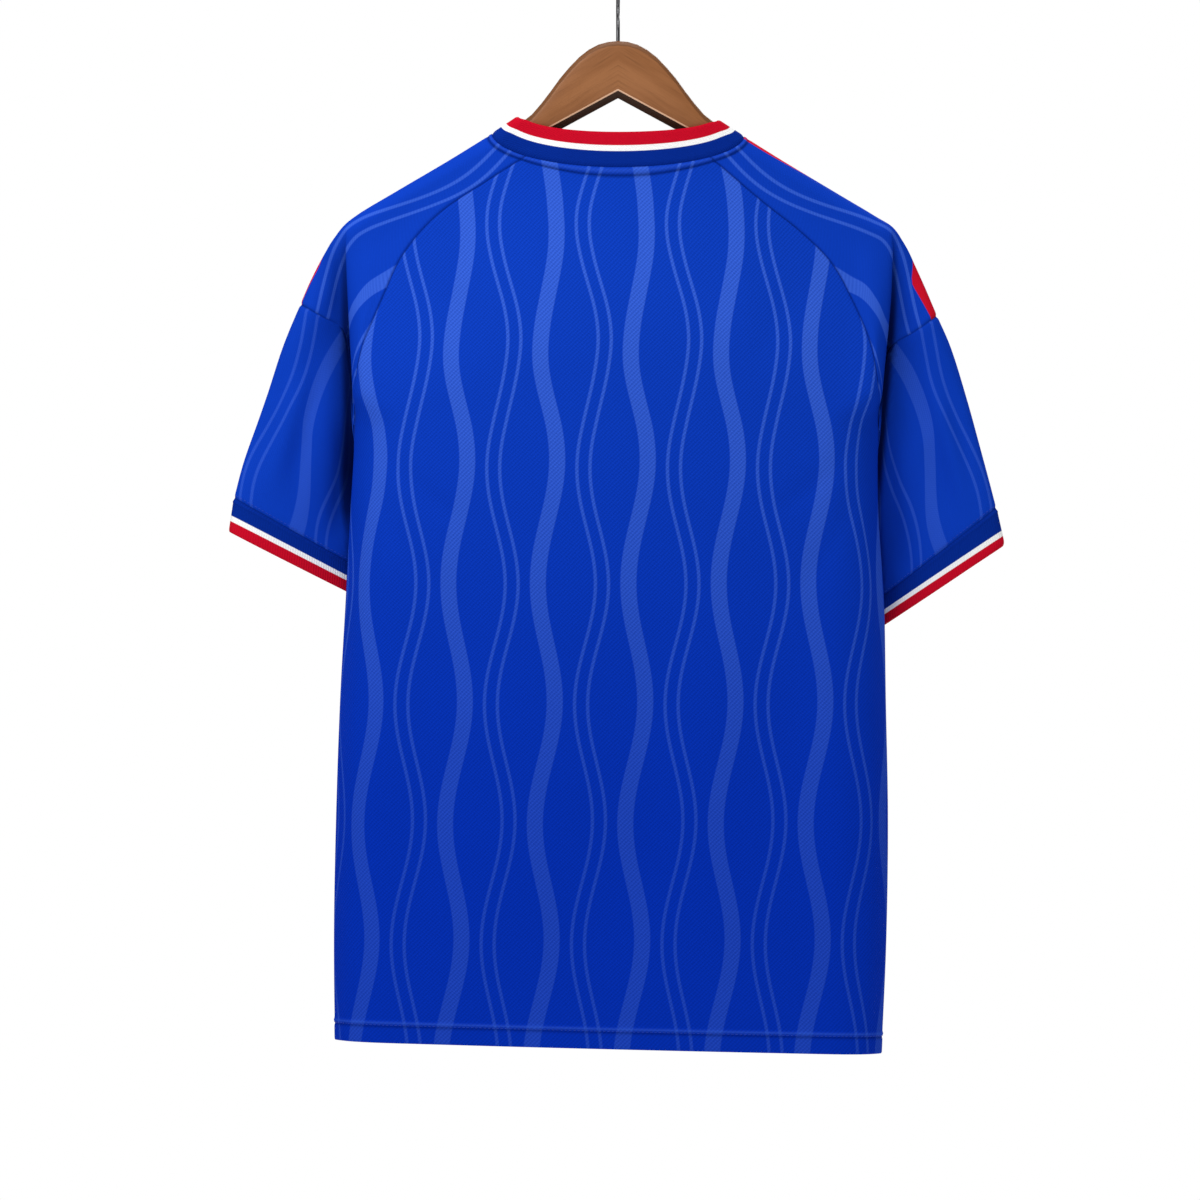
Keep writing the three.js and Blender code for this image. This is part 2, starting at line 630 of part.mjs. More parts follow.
// Hanger wood: rounded sections along the wishbone, closed at both tips
function woodGeometry() {
  const signed = [...HANGER_STATIONS.slice(1).reverse().map((x) => -x), ...HANGER_STATIONS];
  const points = [];
  for (const x of signed) {
    const side = sideOf(x);
    const reach = Math.abs(x);
    const top = woodTop(side, reach);
    const straight = HANGER_APEX_Z - HANGER_UNDER_SLOPE * reach;
    const under = Math.min(straight, top - HANGER_ARM_HEIGHT);
    const tip = rounding(HANGER_TIP_X + 1.6 - reach, HANGER_TIP_ROUNDING);
    const halfHeight = ((top - under) / 2) * tip;
    const centreZ = (top + under) / 2;
    const half = mix(HANGER_HALF_THICKNESS.middle, HANGER_HALF_THICKNESS.tip, smooth(reach / 180)) * tip;
    const centreY = sweepY(x, BODY_EDGE[0].z);
    for (const { y, z } of HANGER_SECTION) {
      points.push(new THREE.Vector3(x, centreY + y * half, centreZ + z * halfHeight));
    }
  }
  const count = HANGER_SECTION.length;
  const triangles = [];
  for (let i = 0; i < signed.length - 1; i += 1) {
    for (let j = 0; j < count; j += 1) {
      const a = i * count + j;
      const b = i * count + ((j + 1) % count);
      triangles.push(a, a + count, b + count, a, b + count, b);
    }
  }
  const end = (signed.length - 1) * count;
  for (let j = 1; j < count - 1; j += 1) {
    triangles.push(0, j, j + 1);
    triangles.push(end, end + j + 1, end + j);
  }
  return meshGeometry(points, triangles);
}

const wasm = await Module();
wasm.setup();

function toSolid(geometry) {
  const plain = geometry.clone();
  plain.deleteAttribute("normal");
  plain.deleteAttribute("uv");
  const merged = mergeVertices(plain);
  return new wasm.Manifold(new wasm.Mesh({
    numProp: 3,
    vertProperties: new Float32Array(merged.attributes.position.array),
    triVerts: new Uint32Array(merged.index.array),
  }));
}

function fromSolid(solid) {
  const mesh = solid.getMesh();
  const geometry = new THREE.BufferGeometry();
  geometry.setAttribute("position", new THREE.BufferAttribute(new Float32Array(mesh.vertProperties), 3));
  geometry.setIndex(new THREE.BufferAttribute(new Uint32Array(mesh.triVerts), 1));
  return geometry;
}

function drilledWood() {
  const radius = HOOK_WIRE / 2 + HOOK_CLEARANCE;
  const bore = new THREE.CylinderGeometry(radius, radius, HOOK_SEAT_DEPTH * 2, 12);
  bore.rotateX(Math.PI / 2);
  bore.translate(0, 0, HUMP_Z);
  return fromSolid(toSolid(woodGeometry()).subtract(toSolid(bore)));
}

// Hook: a question mark of wire, turned square to the hanger, whose inside top is the origin
function hookGeometry() {
  const centreZ = HOOK_WIRE / 2 - HOOK_RADIUS;
  const points = [];
  for (let step = 0; step <= HOOK_ARC.steps; step += 1) {
    const angle = mix(HOOK_ARC.tip, HOOK_ARC.end, step / HOOK_ARC.steps);
    points.push(new THREE.Vector3(0, HOOK_RADIUS * Math.cos(angle), centreZ + HOOK_RADIUS * Math.sin(angle)));
  }
  const neckZ = centreZ - HOOK_RADIUS - HOOK_WIRE;
  points.push(new THREE.Vector3(0, HOOK_CLEARANCE * 3, neckZ));
  for (const z of [(neckZ + HUMP_Z) / 2, HUMP_Z, HUMP_Z - HOOK_SEAT_DEPTH + HOOK_CLEARANCE]) {
    points.push(new THREE.Vector3(0, 0, z));
  }
  const wire = new THREE.Shape();
  wire.absarc(0, 0, HOOK_WIRE / 2, 0, Math.PI * 2);
  return new THREE.ExtrudeGeometry(wire, {
    curveSegments: 4,
    steps: HOOK_STEPS,
    bevelEnabled: false,
    extrudePath: smoothPath(points),
  });
}

function matte(color, roughness, metalness = 0) {
  return new THREE.MeshStandardMaterial({ color, roughness, metalness });
}

const finishes = {
  jersey: matte(0x0d41bd, 0.72),
  rib: matte(0x06308f, 0.8),
  wood: matte(0x8f5c37, 0.45),
  steel: matte(0x3c3c40, 0.3, 1),
};

const grids = {
  back_panel: panelGrid("back"),
  front_panel: panelGrid("front"),
  yoke_left: yokeGrid("left"),
  yoke_right: yokeGrid("right"),
};
grids.collar = collarGrid(neckLoop(grids));
for (const side of SIDES) {
  grids[`sleeve_${side}`] = sleeveGrid(side);
  grids[`cuff_${side}`] = cuffGrid(side);
}

const panelRows = grids.back_panel.length;
const neckLift = (i) => (i < 2 ? NECK_RIDGE : 0);
const panelLift = (i) => neckLift(i) + (i >= panelRows - 2 ? HEM_RAISE : 0);

const pieces = [
  { name: "back_panel", turn: 1, lift: panelLift, material: finishes.jersey },
  { name: "front_panel", turn: -1, lift: panelLift, material: finishes.jersey },
  { name: "yoke_left", turn: -1, lift: neckLift, material: finishes.jersey },
  { name: "yoke_right", turn: 1, lift: neckLift, material: finishes.jersey },
  { name: "sleeve_left", turn: -1, closed: true, material: finishes.jersey },
  { name: "sleeve_right", turn: 1, closed: true, material: finishes.jersey },
  { name: "cuff_left", turn: -1, closed: true, material: finishes.rib },
  { name: "cuff_right", turn: 1, closed: true, material: finishes.rib },
  { name: "collar", turn: -1, closed: true, material: finishes.rib },
];
for (const piece of pieces) {
  piece.closed = piece.closed ?? false;
  piece.grid = grids[piece.name];
  piece.normals = gridNormals(piece.grid, piece.closed, piece.turn);
}
shareNormals(pieces);
for (const side of SIDES) {
  const { normals } = pieces.find((piece) => piece.name === `yoke_${side}`);
  const last = normals.length - 1;
  const seam = normals[last].length - 1;
  normals[last][0] = normals[last - 1][0].clone();
  normals[last][seam] = normals[last - 1][seam].clone();
}

const jersey = new THREE.Group();
for (const piece of pieces) {
  jersey.add(clothMesh(piece));
}
jersey.add(namedMesh("hanger_wood", drilledWood(), finishes.wood));
jersey.add(namedMesh("hanger_hook", hookGeometry(), finishes.steel));

export default jersey;
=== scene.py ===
"""A short-sleeved raglan football jersey on a wooden hanger, dressed and lit for a picture.

Metres. +X is to the right seen from behind, +Y is the wearer's front and +Z is up.
The origin is inside the top of the hook.
"""

import logging
import math
from dataclasses import dataclass, field, replace
from enum import Enum
from functools import reduce
from typing import Iterable, Optional, Sequence

import bpy
import numpy as np
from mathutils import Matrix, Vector


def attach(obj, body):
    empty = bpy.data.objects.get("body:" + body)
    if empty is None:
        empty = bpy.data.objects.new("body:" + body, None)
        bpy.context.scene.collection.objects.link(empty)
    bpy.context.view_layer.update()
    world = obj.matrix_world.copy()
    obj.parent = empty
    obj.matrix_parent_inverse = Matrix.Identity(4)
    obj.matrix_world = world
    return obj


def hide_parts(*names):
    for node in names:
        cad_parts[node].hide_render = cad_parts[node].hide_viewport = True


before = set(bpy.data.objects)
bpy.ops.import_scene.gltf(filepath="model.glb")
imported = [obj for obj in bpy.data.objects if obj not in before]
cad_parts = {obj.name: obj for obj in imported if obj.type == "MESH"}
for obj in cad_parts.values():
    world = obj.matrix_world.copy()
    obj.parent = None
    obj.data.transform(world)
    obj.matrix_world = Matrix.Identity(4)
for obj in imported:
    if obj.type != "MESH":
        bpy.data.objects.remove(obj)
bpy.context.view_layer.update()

LOG = logging.getLogger("jersey")
CLOTH_SMOOTHING = math.radians(50)

Array = np.ndarray
Socket = bpy.types.NodeSocket
Material = bpy.types.Material
Object = bpy.types.Object
Pair = tuple[float, float]
Point = tuple[float, float, float]
Colour = tuple[float, float, float]
Grids = dict[str, np.ndarray]


class Side(Enum):
    """A side of the garment, seen from behind."""

    LEFT = -1
    RIGHT = 1

    @property
    def word(self) -> str:
        """The side's name in the names of pieces."""
        return self.name.lower()


class Face(Enum):
    """The back or the front of the garment."""

    BACK = -1
    FRONT = 1

    @property
    def word(self) -> str:
        """The face's name in the names of pieces."""
        return self.name.lower()


class Edge(Enum):
    """An edge of a grid of points."""

    TOP = "top"
    BOTTOM = "bottom"
    LEFT = "left"
    RIGHT = "right"


def lerp(start: Array, end: Array, share: Array) -> Array:
    """Reads a straight run from start at share 0 to end at share 1."""
    return start + (end - start) * share


def smooth(value: Array) -> Array:
    """Eases numbers from 0 to 1, those outside that range cut off."""
    held = np.clip(value, 0.0, 1.0)
    return held * held * (3.0 - 2.0 * held)


def rounding(distance: Array, reach: Array) -> Array:
    """Gives a quarter round, from 0 at an edge to 1 at the end of its reach."""
    rest = 1.0 - np.clip(distance / reach, 0.0, 1.0)
    return np.sqrt(1.0 - rest * rest)


def bump(distance: Array, width: Array) -> Array:
    """Gives a soft ridge, 1 at its middle and about a third at its width from there."""
    return np.exp(-((distance / width) ** 2))


def unit(vectors: Array) -> Array:
    """Scales vectors to the length of 1."""
    return vectors / np.linalg.norm(vectors, axis=-1, keepdims=True)


def read_line(places: Array, reach: Array, line: Array) -> Array:
    """Reads a line of points or directions at places along it; reach has the places of its own points."""
    return np.stack([np.interp(places, reach, line[:, axis]) for axis in range(3)], axis=-1)


def table(kind: type, *rows: Sequence[object]) -> tuple:
    """Makes a table: each row has the values of one object, in the order of its kind's fields."""
    return tuple(kind(*row) for row in rows)


class SmoothPath:
    """A smooth curve through given points, read by its share of length."""

    STEPS_PER_SPAN = 48
    SHORT_STEP = 0.004

    def __init__(self, points: Sequence[Sequence[float]]) -> None:
        """Works out the curve.

        Args:
            points: The points that the curve goes through, in order.
        """
        knots = [np.array(point, dtype=float) for point in points]
        knots.insert(0, 2.0 * knots[0] - knots[1])
        knots.append(2.0 * knots[-1] - knots[-2])
        share = np.linspace(0.0, 1.0, self.STEPS_PER_SPAN, endpoint=False)[:, None]
        spans = [self._span(knots[i : i + 4], share) for i in range(len(knots) - 3)]
        self.start = knots[1]
        self.dense = np.concatenate([*spans, knots[-2][None, :]])
        steps = np.linalg.norm(np.diff(self.dense, axis=0), axis=1)
        self.reach = np.concatenate([[0.0], np.cumsum(steps)])

    @staticmethod
    def _span(knots: Sequence[Array], share: Array) -> Array:
        """Works out one span of a centripetal curve.

        Args:
            knots: The point before the span, its two ends and the point after it.
            share: Shares of the way along the span, as a column.

        Returns:
            The points of the span.
        """
        gaps = [math.sqrt(np.linalg.norm(knots[i + 1] - knots[i])) for i in range(3)]
        steps = [knots[i + 1] - knots[i] for i in range(3)]
        leaving = steps[0] / gaps[0] - (steps[0] + steps[1]) / (gaps[0] + gaps[1]) + steps[1] / gaps[1]
        arriving = steps[1] / gaps[1] - (steps[1] + steps[2]) / (gaps[1] + gaps[2]) + steps[2] / gaps[2]
        cube, square = share**3, share**2
        place = (2 * cube - 3 * square + 1) * knots[1] + (3 * square - 2 * cube) * knots[2]
        lean = (cube - 2 * square + share) * leaving + (cube - square) * arriving
        return place + lean * gaps[1]

    def at(self, share: Array) -> Array:
        """Reads the points at shares of the curve's length, with one more axis than share."""
        return read_line(np.asarray(share, dtype=float) * self.reach[-1], self.reach, self.dense)

    def along(self, share: Array) -> Array:
        """Reads unit vectors along the curve at shares of its length."""
        before, ahead = np.maximum(share - self.SHORT_STEP, 0.0), np.minimum(share + self.SHORT_STEP, 1.0)
        return unit(self.at(ahead) - self.at(before))


@dataclass(frozen=True)
class EdgeRow:
    """The body's edge at one height: where it lies, and how the hollow behind it is shaped."""

    z: float
    left: float
    right: float
    fold: float
    depth: float
    sweep: float


@dataclass(frozen=True)
class FoldShade:
    """The shade in the fold between body and sleeve at one height, on the left and on the right side."""

    z: float
    depth: Pair
    flat: Pair
    width: Pair
    soft: Pair


@dataclass(frozen=True)
class SeamRow:
    """One place of a seam on the left and on the right side, as x and z."""

    left: Pair
    right: Pair

    def on(self, side: Side) -> Point:
        """The place on a side, laid flat."""
        x, z = self.left if side is Side.LEFT else self.right
        return (x, 0.0, z)


@dataclass(frozen=True)
class SleeveRow:
    """One place of a sleeve's outer or inner edge on the left and on the right side."""

    left: Point
    right: Point

    def on(self, side: Side) -> Point:
        """The place on a side."""
        return self.left if side is Side.LEFT else self.right


@dataclass(frozen=True)
class GarmentForm:
    """The form that the garment hangs in: every cloth piece is a patch of it."""

    neck_half_width: float = 0.101
    neck_centre_z: dict = field(default_factory=lambda: {Face.BACK: -0.157, Face.FRONT: -0.214})
    neck_curve_power: dict = field(default_factory=lambda: {Face.BACK: 1.05, Face.FRONT: 0.65})
    junction_angle: dict = field(
        default_factory=lambda: {Face.BACK: math.radians(43), Face.FRONT: math.radians(30)}
    )
    hanger_tip_x: float = 0.219
    sweep_saturation: float = 0.25
    underarm_z: dict = field(default_factory=lambda: {Side.LEFT: -0.3624, Side.RIGHT: -0.3664})
    hem_z: dict = field(default_factory=lambda: {Side.LEFT: -0.8544, Side.RIGHT: -0.8654})
    body_rounding: dict = field(default_factory=lambda: {Face.BACK: 0.045, Face.FRONT: 0.062})
    body_depth_share: dict = field(default_factory=lambda: {Face.BACK: 1.0, Face.FRONT: 0.8})
    shoulder_half_depth: float = 0.0125
    shoulder_line: Point = (0.101, -0.1292, 0.6)
    depth_growth: float = 0.19
    sleeve_half_depth: Point = (0.013, 0.017, 0.019)
    crest_rounding: Pair = (0.011, 0.026)
    cross_seam_start: float = 0.4
    fold_wall: float = 0.0030
    fold_floor: float = 0.038
    fold_round: float = 0.018
    fold_overhang: float = 0.0062
    fold_beside: float = 0.003
    last_fold: float = 0.985
    overhang_run: tuple[float, float, float] = (0.034, 0.020, 0.0015)
    body_to_sleeve: Pair = (0.016, 0.032)
    sleeve_cap: Pair = (-0.2, 0.06)
    above_underarms: Pair = (-0.366, 0.03)
    round_underarms: Pair = (0.012, 0.030)
    crest_flattening: Pair = (0.55, 0.45)
    neck_fade_power: int = 4
    wide_shade: Pair = (0.004, 0.0135)
    body_shade: Pair = (0.0016, 0.0045)
    body_shade_share: Pair = (0.2, 0.5)
    # Each row of a table has the values of its kind, in the order of that kind's fields
    body_edge: tuple[EdgeRow, ...] = table(
        EdgeRow,
        (-0.205, -0.2186, 0.2206, 0.0, 0.038, 0.030),
        (-0.235, -0.2178, 0.2200, 0.74, 0.038, 0.030),
        (-0.265, -0.2162, 0.2184, 0.94, 0.038, 0.030),
        (-0.320, -0.2130, 0.2130, 0.98, 0.038, 0.030),
        (-0.364, -0.2116, 0.2094, 1.0, 0.038, 0.030),
        (-0.430, -0.2150, 0.2092, 1.0, 0.039, 0.028),
        (-0.502, -0.2188, 0.2138, 1.0, 0.039, 0.025),
        (-0.582, -0.2232, 0.2152, 1.0, 0.038, 0.022),
        (-0.678, -0.2264, 0.2168, 1.0, 0.036, 0.018),
        (-0.774, -0.2280, 0.2154, 1.0, 0.034, 0.015),
        (-0.866, -0.2270, 0.2114, 1.0, 0.033, 0.013),
    )
    fold_shade: tuple[FoldShade, ...] = table(
        FoldShade,
        (-0.235, (0.80, 0.75), (0.0010, 0.0010), (0.0050, 0.0035), (0.45, 0.20)),
        (-0.265, (0.90, 0.95), (0.0026, 0.0026), (0.0055, 0.0034), (0.50, 0.20)),
        (-0.300, (0.97, 1.00), (0.0044, 0.0040), (0.0060, 0.0036), (0.55, 0.15)),
        (-0.364, (1.00, 1.00), (0.0056, 0.0042), (0.0065, 0.0032), (0.60, 0.10)),
        (-0.400, (1.00, 0.95), (0.0050, 0.0018), (0.0065, 0.0024), (0.60, 0.0)),
        (-0.430, (0.90, 0.65), (0.0030, 0.0005), (0.0045, 0.0018), (0.35, 0.0)),
        (-0.450, (0.50, 0.50), (0.0010, 0.0005), (0.0025, 0.0018), (0.10, 0.0)),
        (-0.520, (0.35, 0.55), (0.0005, 0.0005), (0.0015, 0.0018), (0.0, 0.0)),
    )
    crest_rows: tuple[SeamRow, ...] = table(
        SeamRow,
        ((-0.1010, -0.1292), (0.1010, -0.1314)),
        ((-0.1360, -0.1504), (0.1320, -0.1504)),
        ((-0.1776, -0.1744), (0.1728, -0.1744)),
        ((-0.2100, -0.1936), (0.2070, -0.1944)),
        ((-0.2210, -0.2026), (0.2216, -0.2038)),
        ((-0.2346, -0.2224), (0.2330, -0.2222)),
        ((-0.2472, -0.2464), (0.2446, -0.2464)),
        ((-0.2552, -0.2648), (0.2566, -0.2742)),
    )
    back_raglan_rows: tuple[SeamRow, ...] = table(
        SeamRow,
        ((-0.1032, -0.1664), (0.1176, -0.1856)),
        ((-0.1448, -0.1944), (0.1464, -0.2080)),
        ((-0.1712, -0.2240), (0.1712, -0.2328)),
        ((-0.1832, -0.2472), (0.1864, -0.2600)),
        ((-0.1952, -0.2872), (0.1952, -0.2896)),
        ((-0.2040, -0.3168), (0.2016, -0.3204)),
    )
    front_raglan_rows: tuple[SeamRow, ...] = table(
        SeamRow,
        ((-0.120, -0.200), (0.120, -0.203)),
        ((-0.150, -0.228), (0.149, -0.231)),
        ((-0.174, -0.262), (0.172, -0.265)),
        ((-0.192, -0.300), (0.190, -0.303)),
        ((-0.204, -0.332), (0.201, -0.335)),
    )
    cross_seam_rows: tuple[SeamRow, ...] = table(
        SeamRow,
        ((-0.2375, -0.2746), (0.2375, -0.2870)),
        ((-0.2210, -0.2844), (0.2180, -0.3000)),
        ((-0.2158, -0.3080), (0.2128, -0.3200)),
    )
    sleeve_outer_rows: tuple[SleeveRow, ...] = table(
        SleeveRow,
        ((-0.2676, 0.029, -0.2944), (0.2672, 0.029, -0.2984)),
        ((-0.2842, 0.029, -0.3424), (0.2810, 0.029, -0.3424)),
        ((-0.3006, 0.029, -0.3904), (0.2942, 0.029, -0.3904)),
        ((-0.3084, 0.029, -0.4200), (0.3040, 0.029, -0.4280)),
    )
    sleeve_inner_rows: tuple[SleeveRow, ...] = table(
        SleeveRow,
        ((-0.2096, 0.044, -0.3980), (0.2064, 0.044, -0.4040)),
        ((-0.2060, 0.058, -0.4410), (0.2052, 0.057, -0.4570)),
        ((-0.1930, 0.066, -0.4850), (0.1970, 0.064, -0.5120)),
    )
    cuff_outer_end: SleeveRow = SleeveRow(left=(-0.3126, 0.029, -0.4480), right=(0.3108, 0.029, -0.4584))
    cuff_inner_end: SleeveRow = SleeveRow(left=(-0.1860, 0.068, -0.5120), right=(0.1900, 0.066, -0.5390))

    def column(self, name: str, z: Array) -> Array:
        """Reads one column of the table of the body's edge smoothly.

        Args:
            name: The column's name.
            z: Heights to read it at.

        Returns:
            The values there.
        """
        keys = np.array([row.z for row in self.body_edge])
        values = np.array([getattr(row, name) for row in self.body_edge])
        last = len(keys) - 1
        before = np.maximum(np.arange(last + 1) - 1, 0)
        after = np.minimum(np.arange(last + 1) + 1, last)
        slopes = (values[after] - values[before]) / (keys[after] - keys[before])
        row = np.clip(np.searchsorted(-keys, -z, side="left") - 1, 0, last - 1)
        span = keys[row + 1] - keys[row]
        u = np.clip((z - keys[row]) / span, 0.0, 1.0)
        rise = (2 * u**3 - 3 * u**2 + 1) * values[row] + (3 * u**2 - 2 * u**3) * values[row + 1]
        lean = (u**3 - 2 * u**2 + u) * slopes[row] + (u**3 - u**2) * slopes[row + 1]
        return rise + lean * span

    def sweep_y(self, x: Array, z: Array) -> Array:
        """Gives the y of the middle surface, which sweeps forward towards the shoulder tips."""
        reach = (x / self.hanger_tip_x) ** 2
        return self.column("sweep", z) * reach / (1.0 + self.sweep_saturation * reach * reach)

    def outside(self, x: Array, z: Array) -> Array:
        """Gives how far places lie out from the body's edge, less than 0 on the body."""
        return np.abs(x) - np.where(x < 0, -self.column("left", z), self.column("right", z))

    def half_depth(self, face: Face, x: Array, z: Array) -> Array:
        """Gives the depth of the hollow from the middle surface to a face.

        Args:
            face: The face of the garment.
            x: Places across.
            z: Heights.

        Returns:
            The depth there.
        """
        line_x, line_z, line_slope = self.shoulder_line
        shoulder = line_z - line_slope * np.maximum(0.0, np.abs(x) - line_x)
        grown = smooth((shoulder - z) / self.depth_growth)
        grown_depth = self.column("depth", z) * self.body_depth_share[face]
        body = lerp(self.shoulder_half_depth, grown_depth, grown)
        tip, cap, _ = self.sleeve_half_depth
        cap_top, cap_run = self.sleeve_cap
        sleeve = lerp(tip, cap, smooth((cap_top - z) / cap_run))
        outside = self.outside(x, z)
        inner, run = self.body_to_sleeve
        full = lerp(body, sleeve, smooth((outside + inner) / run))
        return full * self.fold_share(face, outside, z)

    def above_underarm(self, z: Array) -> Array:
        """Shares from 0 at the underarm to 1 a little above it."""
        level, run = self.above_underarms
        return smooth((z - level) / run)

    def fold_share(self, face: Face, outside: Array, z: Array) -> Array:
        """Gives the share of the depth that is left beside the fold between body and sleeve.

        Args:
            face: The face of the garment.
            outside: Distance out from the body's edge, less than 0 on the body.
            z: Heights.

        Returns:
            The share, from 0 in the fold to 1 away from it.
        """
        above = self.above_underarm(z)
        inward = np.maximum(-outside, 0.0)
        fold = np.minimum(self.column("fold", z), 1.0)
        round_side = rounding(inward, lerp(self.body_rounding[face], self.fold_round, above * fold))
        steep_side = round_side * lerp(1.0, smooth(inward / self.fold_wall), above)
        low_side = smooth((outside - self.fold_beside) / self.fold_floor)
        profile = np.where(outside < 0, steep_side, low_side)
        return 1.0 - fold * (1.0 - profile)

    def on_face(self, face: Face, x: Array, z: Array, crest: Array = 1.0) -> Array:
        """Places points on the back or the front of the garment.

        Args:
            face: The face of the garment.
            x: Places across.
            z: Heights.
            crest: Share of the depth that is left near the shoulder's crest.

        Returns:
            The points there.
        """
        y = self.sweep_y(x, z) + face.value * self.half_depth(face, x, z) * crest
        outside = self.outside(x, z)
        inner, rise, fall = self.overhang_run
        near = smooth((outside + inner) / rise) * smooth(-outside / fall)
        share = self.fold_share(face, outside, z) * near * self.column("fold", z) * self.above_underarm(z)
        return np.stack(np.broadcast_arrays(x + np.sign(x) * self.fold_overhang * share, y, z), axis=-1)

    def tuck(self, x: Array, z: Array, behind: bool = False) -> Array:
        """Gives how much painted shade a place gets from the fold between body and sleeve.

        Args:
            x: Places across, laid flat.
            z: Heights.
            behind: Whether the cloth goes on behind the body's edge, where all of it gets the painted shade.

        Returns:
            The share of painted shade, 1 in the fold and 0 away from it.
        """
        outside = self.outside(x, z)
        if behind:
            outside = np.maximum(outside, 0.0)
        names = ("depth", "flat", "width", "soft")
        depth, flat, width, soft = (self.shade_value(name, x, z) for name in names)
        wide_flat, wide_width = self.wide_shade
        close = bump(np.maximum(outside - flat, 0.0), width)
        wide = soft * bump(np.maximum(outside - wide_flat, 0.0), wide_width)
        inward = np.minimum(outside, 0.0)
        narrow, broad = (bump(inward, reach) for reach in self.body_shade)
        body_side = np.maximum(narrow, np.where(x < 0, *self.body_shade_share) * broad)
        share = np.where(outside < 0, body_side, np.maximum(close, wide))
        return share * depth * np.clip(self.column("fold", z), 0.0, 1.0)

    def shade_value(self, name: str, x: Array, z: Array) -> Array:
        """Reads one value of the fold's shade.

        Args:
            name: The value's name.
            x: Places across.
            z: Heights.

        Returns:
            The values there.
        """
        keys = [-row.z for row in self.fold_shade]
        left, right = zip(*(getattr(row, name) for row in self.fold_shade))
        return np.where(x < 0, np.interp(-z, keys, left), np.interp(-z, keys, right))

    def neck_seam(self, side: Side, face: Face, angle: Array) -> tuple[Array, Array]:
        """Gives the neck seam at an angle, from the shoulder's crest round to the centre.

        Args:
            side: The side of the garment.
            face: The face of the garment.
            angle: Angles from the crest, a quarter turn at the centre.

        Returns:
            The x and the z of the seam.
        """
        x = side.value * self.neck_half_width * np.cos(angle)
        _, _, crest_z = self.crest_rows[0].on(side)
        return x, lerp(crest_z, self.neck_centre_z[face], np.sin(angle) ** self.neck_curve_power[face])

    def neck_seam_at_x(self, face: Face, x: Array) -> Array:
        """Gives the height of the neck seam at places across.

        Args:
            face: The face of the garment.
            x: Places across.

        Returns:
            The z of the seam there.
        """
        angle = np.arccos(np.clip(np.abs(x) / self.neck_half_width, 0.0, 1.0))
        _, left = self.neck_seam(Side.LEFT, face, angle)
        _, right = self.neck_seam(Side.RIGHT, face, angle)
        return np.where(x < 0, left, right)

    def edge_x(self, side: Side, z: Array) -> Array:
        """The body's edge on a side, at heights."""
        return self.column(side.word, z)

    def underarm(self, side: Side) -> Array:
        """The point of the underarm on a side."""
        z = np.array(self.underarm_z[side])
        x = self.edge_x(side, z)
        return np.array([float(x), float(self.sweep_y(x, z)), float(z)])

    def clear_of_underarm(self, x: Array, z: Array) -> Array:
        """Gives shares from 0 at the point of either underarm to 1 a little away from it.

        Args:
            x: Places across.
            z: Heights.

        Returns:
            The shares there.
        """
        points = [self.underarm(side) for side in Side]
        away = np.minimum.reduce([np.hypot(x - point[0], z - point[2]) for point in points])
        start, run = self.round_underarms
        return smooth((away - start) / run)

    def flat_underarm(self, side: Side) -> Point:
        """The point of the underarm on a side, laid flat."""
        x, _, z = self.underarm(side)
        return (x, 0.0, z)

    def crest(self, side: Side) -> SmoothPath:
        """The shoulder's crest, from the collar to the cross seam."""
        return SmoothPath([row.on(side) for row in self.crest_rows])

    def raglan(self, side: Side, face: Face) -> SmoothPath:
        """Gives a raglan seam, from the neck seam to the underarm.

        Args:
            side: The side of the garment.
            face: The face of the garment.

        Returns:
            The seam's path, laid flat.
        """
        x, z = self.neck_seam(side, face, np.array(self.junction_angle[face]))
        start = (float(x), 0.0, float(z))
        rows = self.back_raglan_rows if face is Face.BACK else self.front_raglan_rows
        return SmoothPath([start, *[row.on(side) for row in rows], self.flat_underarm(side)])

    def cross_seam(self, side: Side) -> SmoothPath:
        """The cross seam of the sleeve, laid flat, from the crest to the underarm."""
        rows = [row.on(side) for row in self.cross_seam_rows]
        return SmoothPath([self.crest_rows[-1].on(side), *rows, self.flat_underarm(side)])

    def sleeve_outer(self, side: Side) -> SmoothPath:
        """The sleeve's outer edge, from the cross seam to the cuff."""
        x, _, z = self.crest_rows[-1].on(side)
        start = (x, float(self.sweep_y(np.array(x), np.array(z))), z)
        return SmoothPath([start, *[row.on(side) for row in self.sleeve_outer_rows]])

    def sleeve_inner(self, side: Side) -> SmoothPath:
        """The sleeve's underarm seam, from the cross seam to the cuff."""
        return SmoothPath([self.underarm(side), *[row.on(side) for row in self.sleeve_inner_rows]])

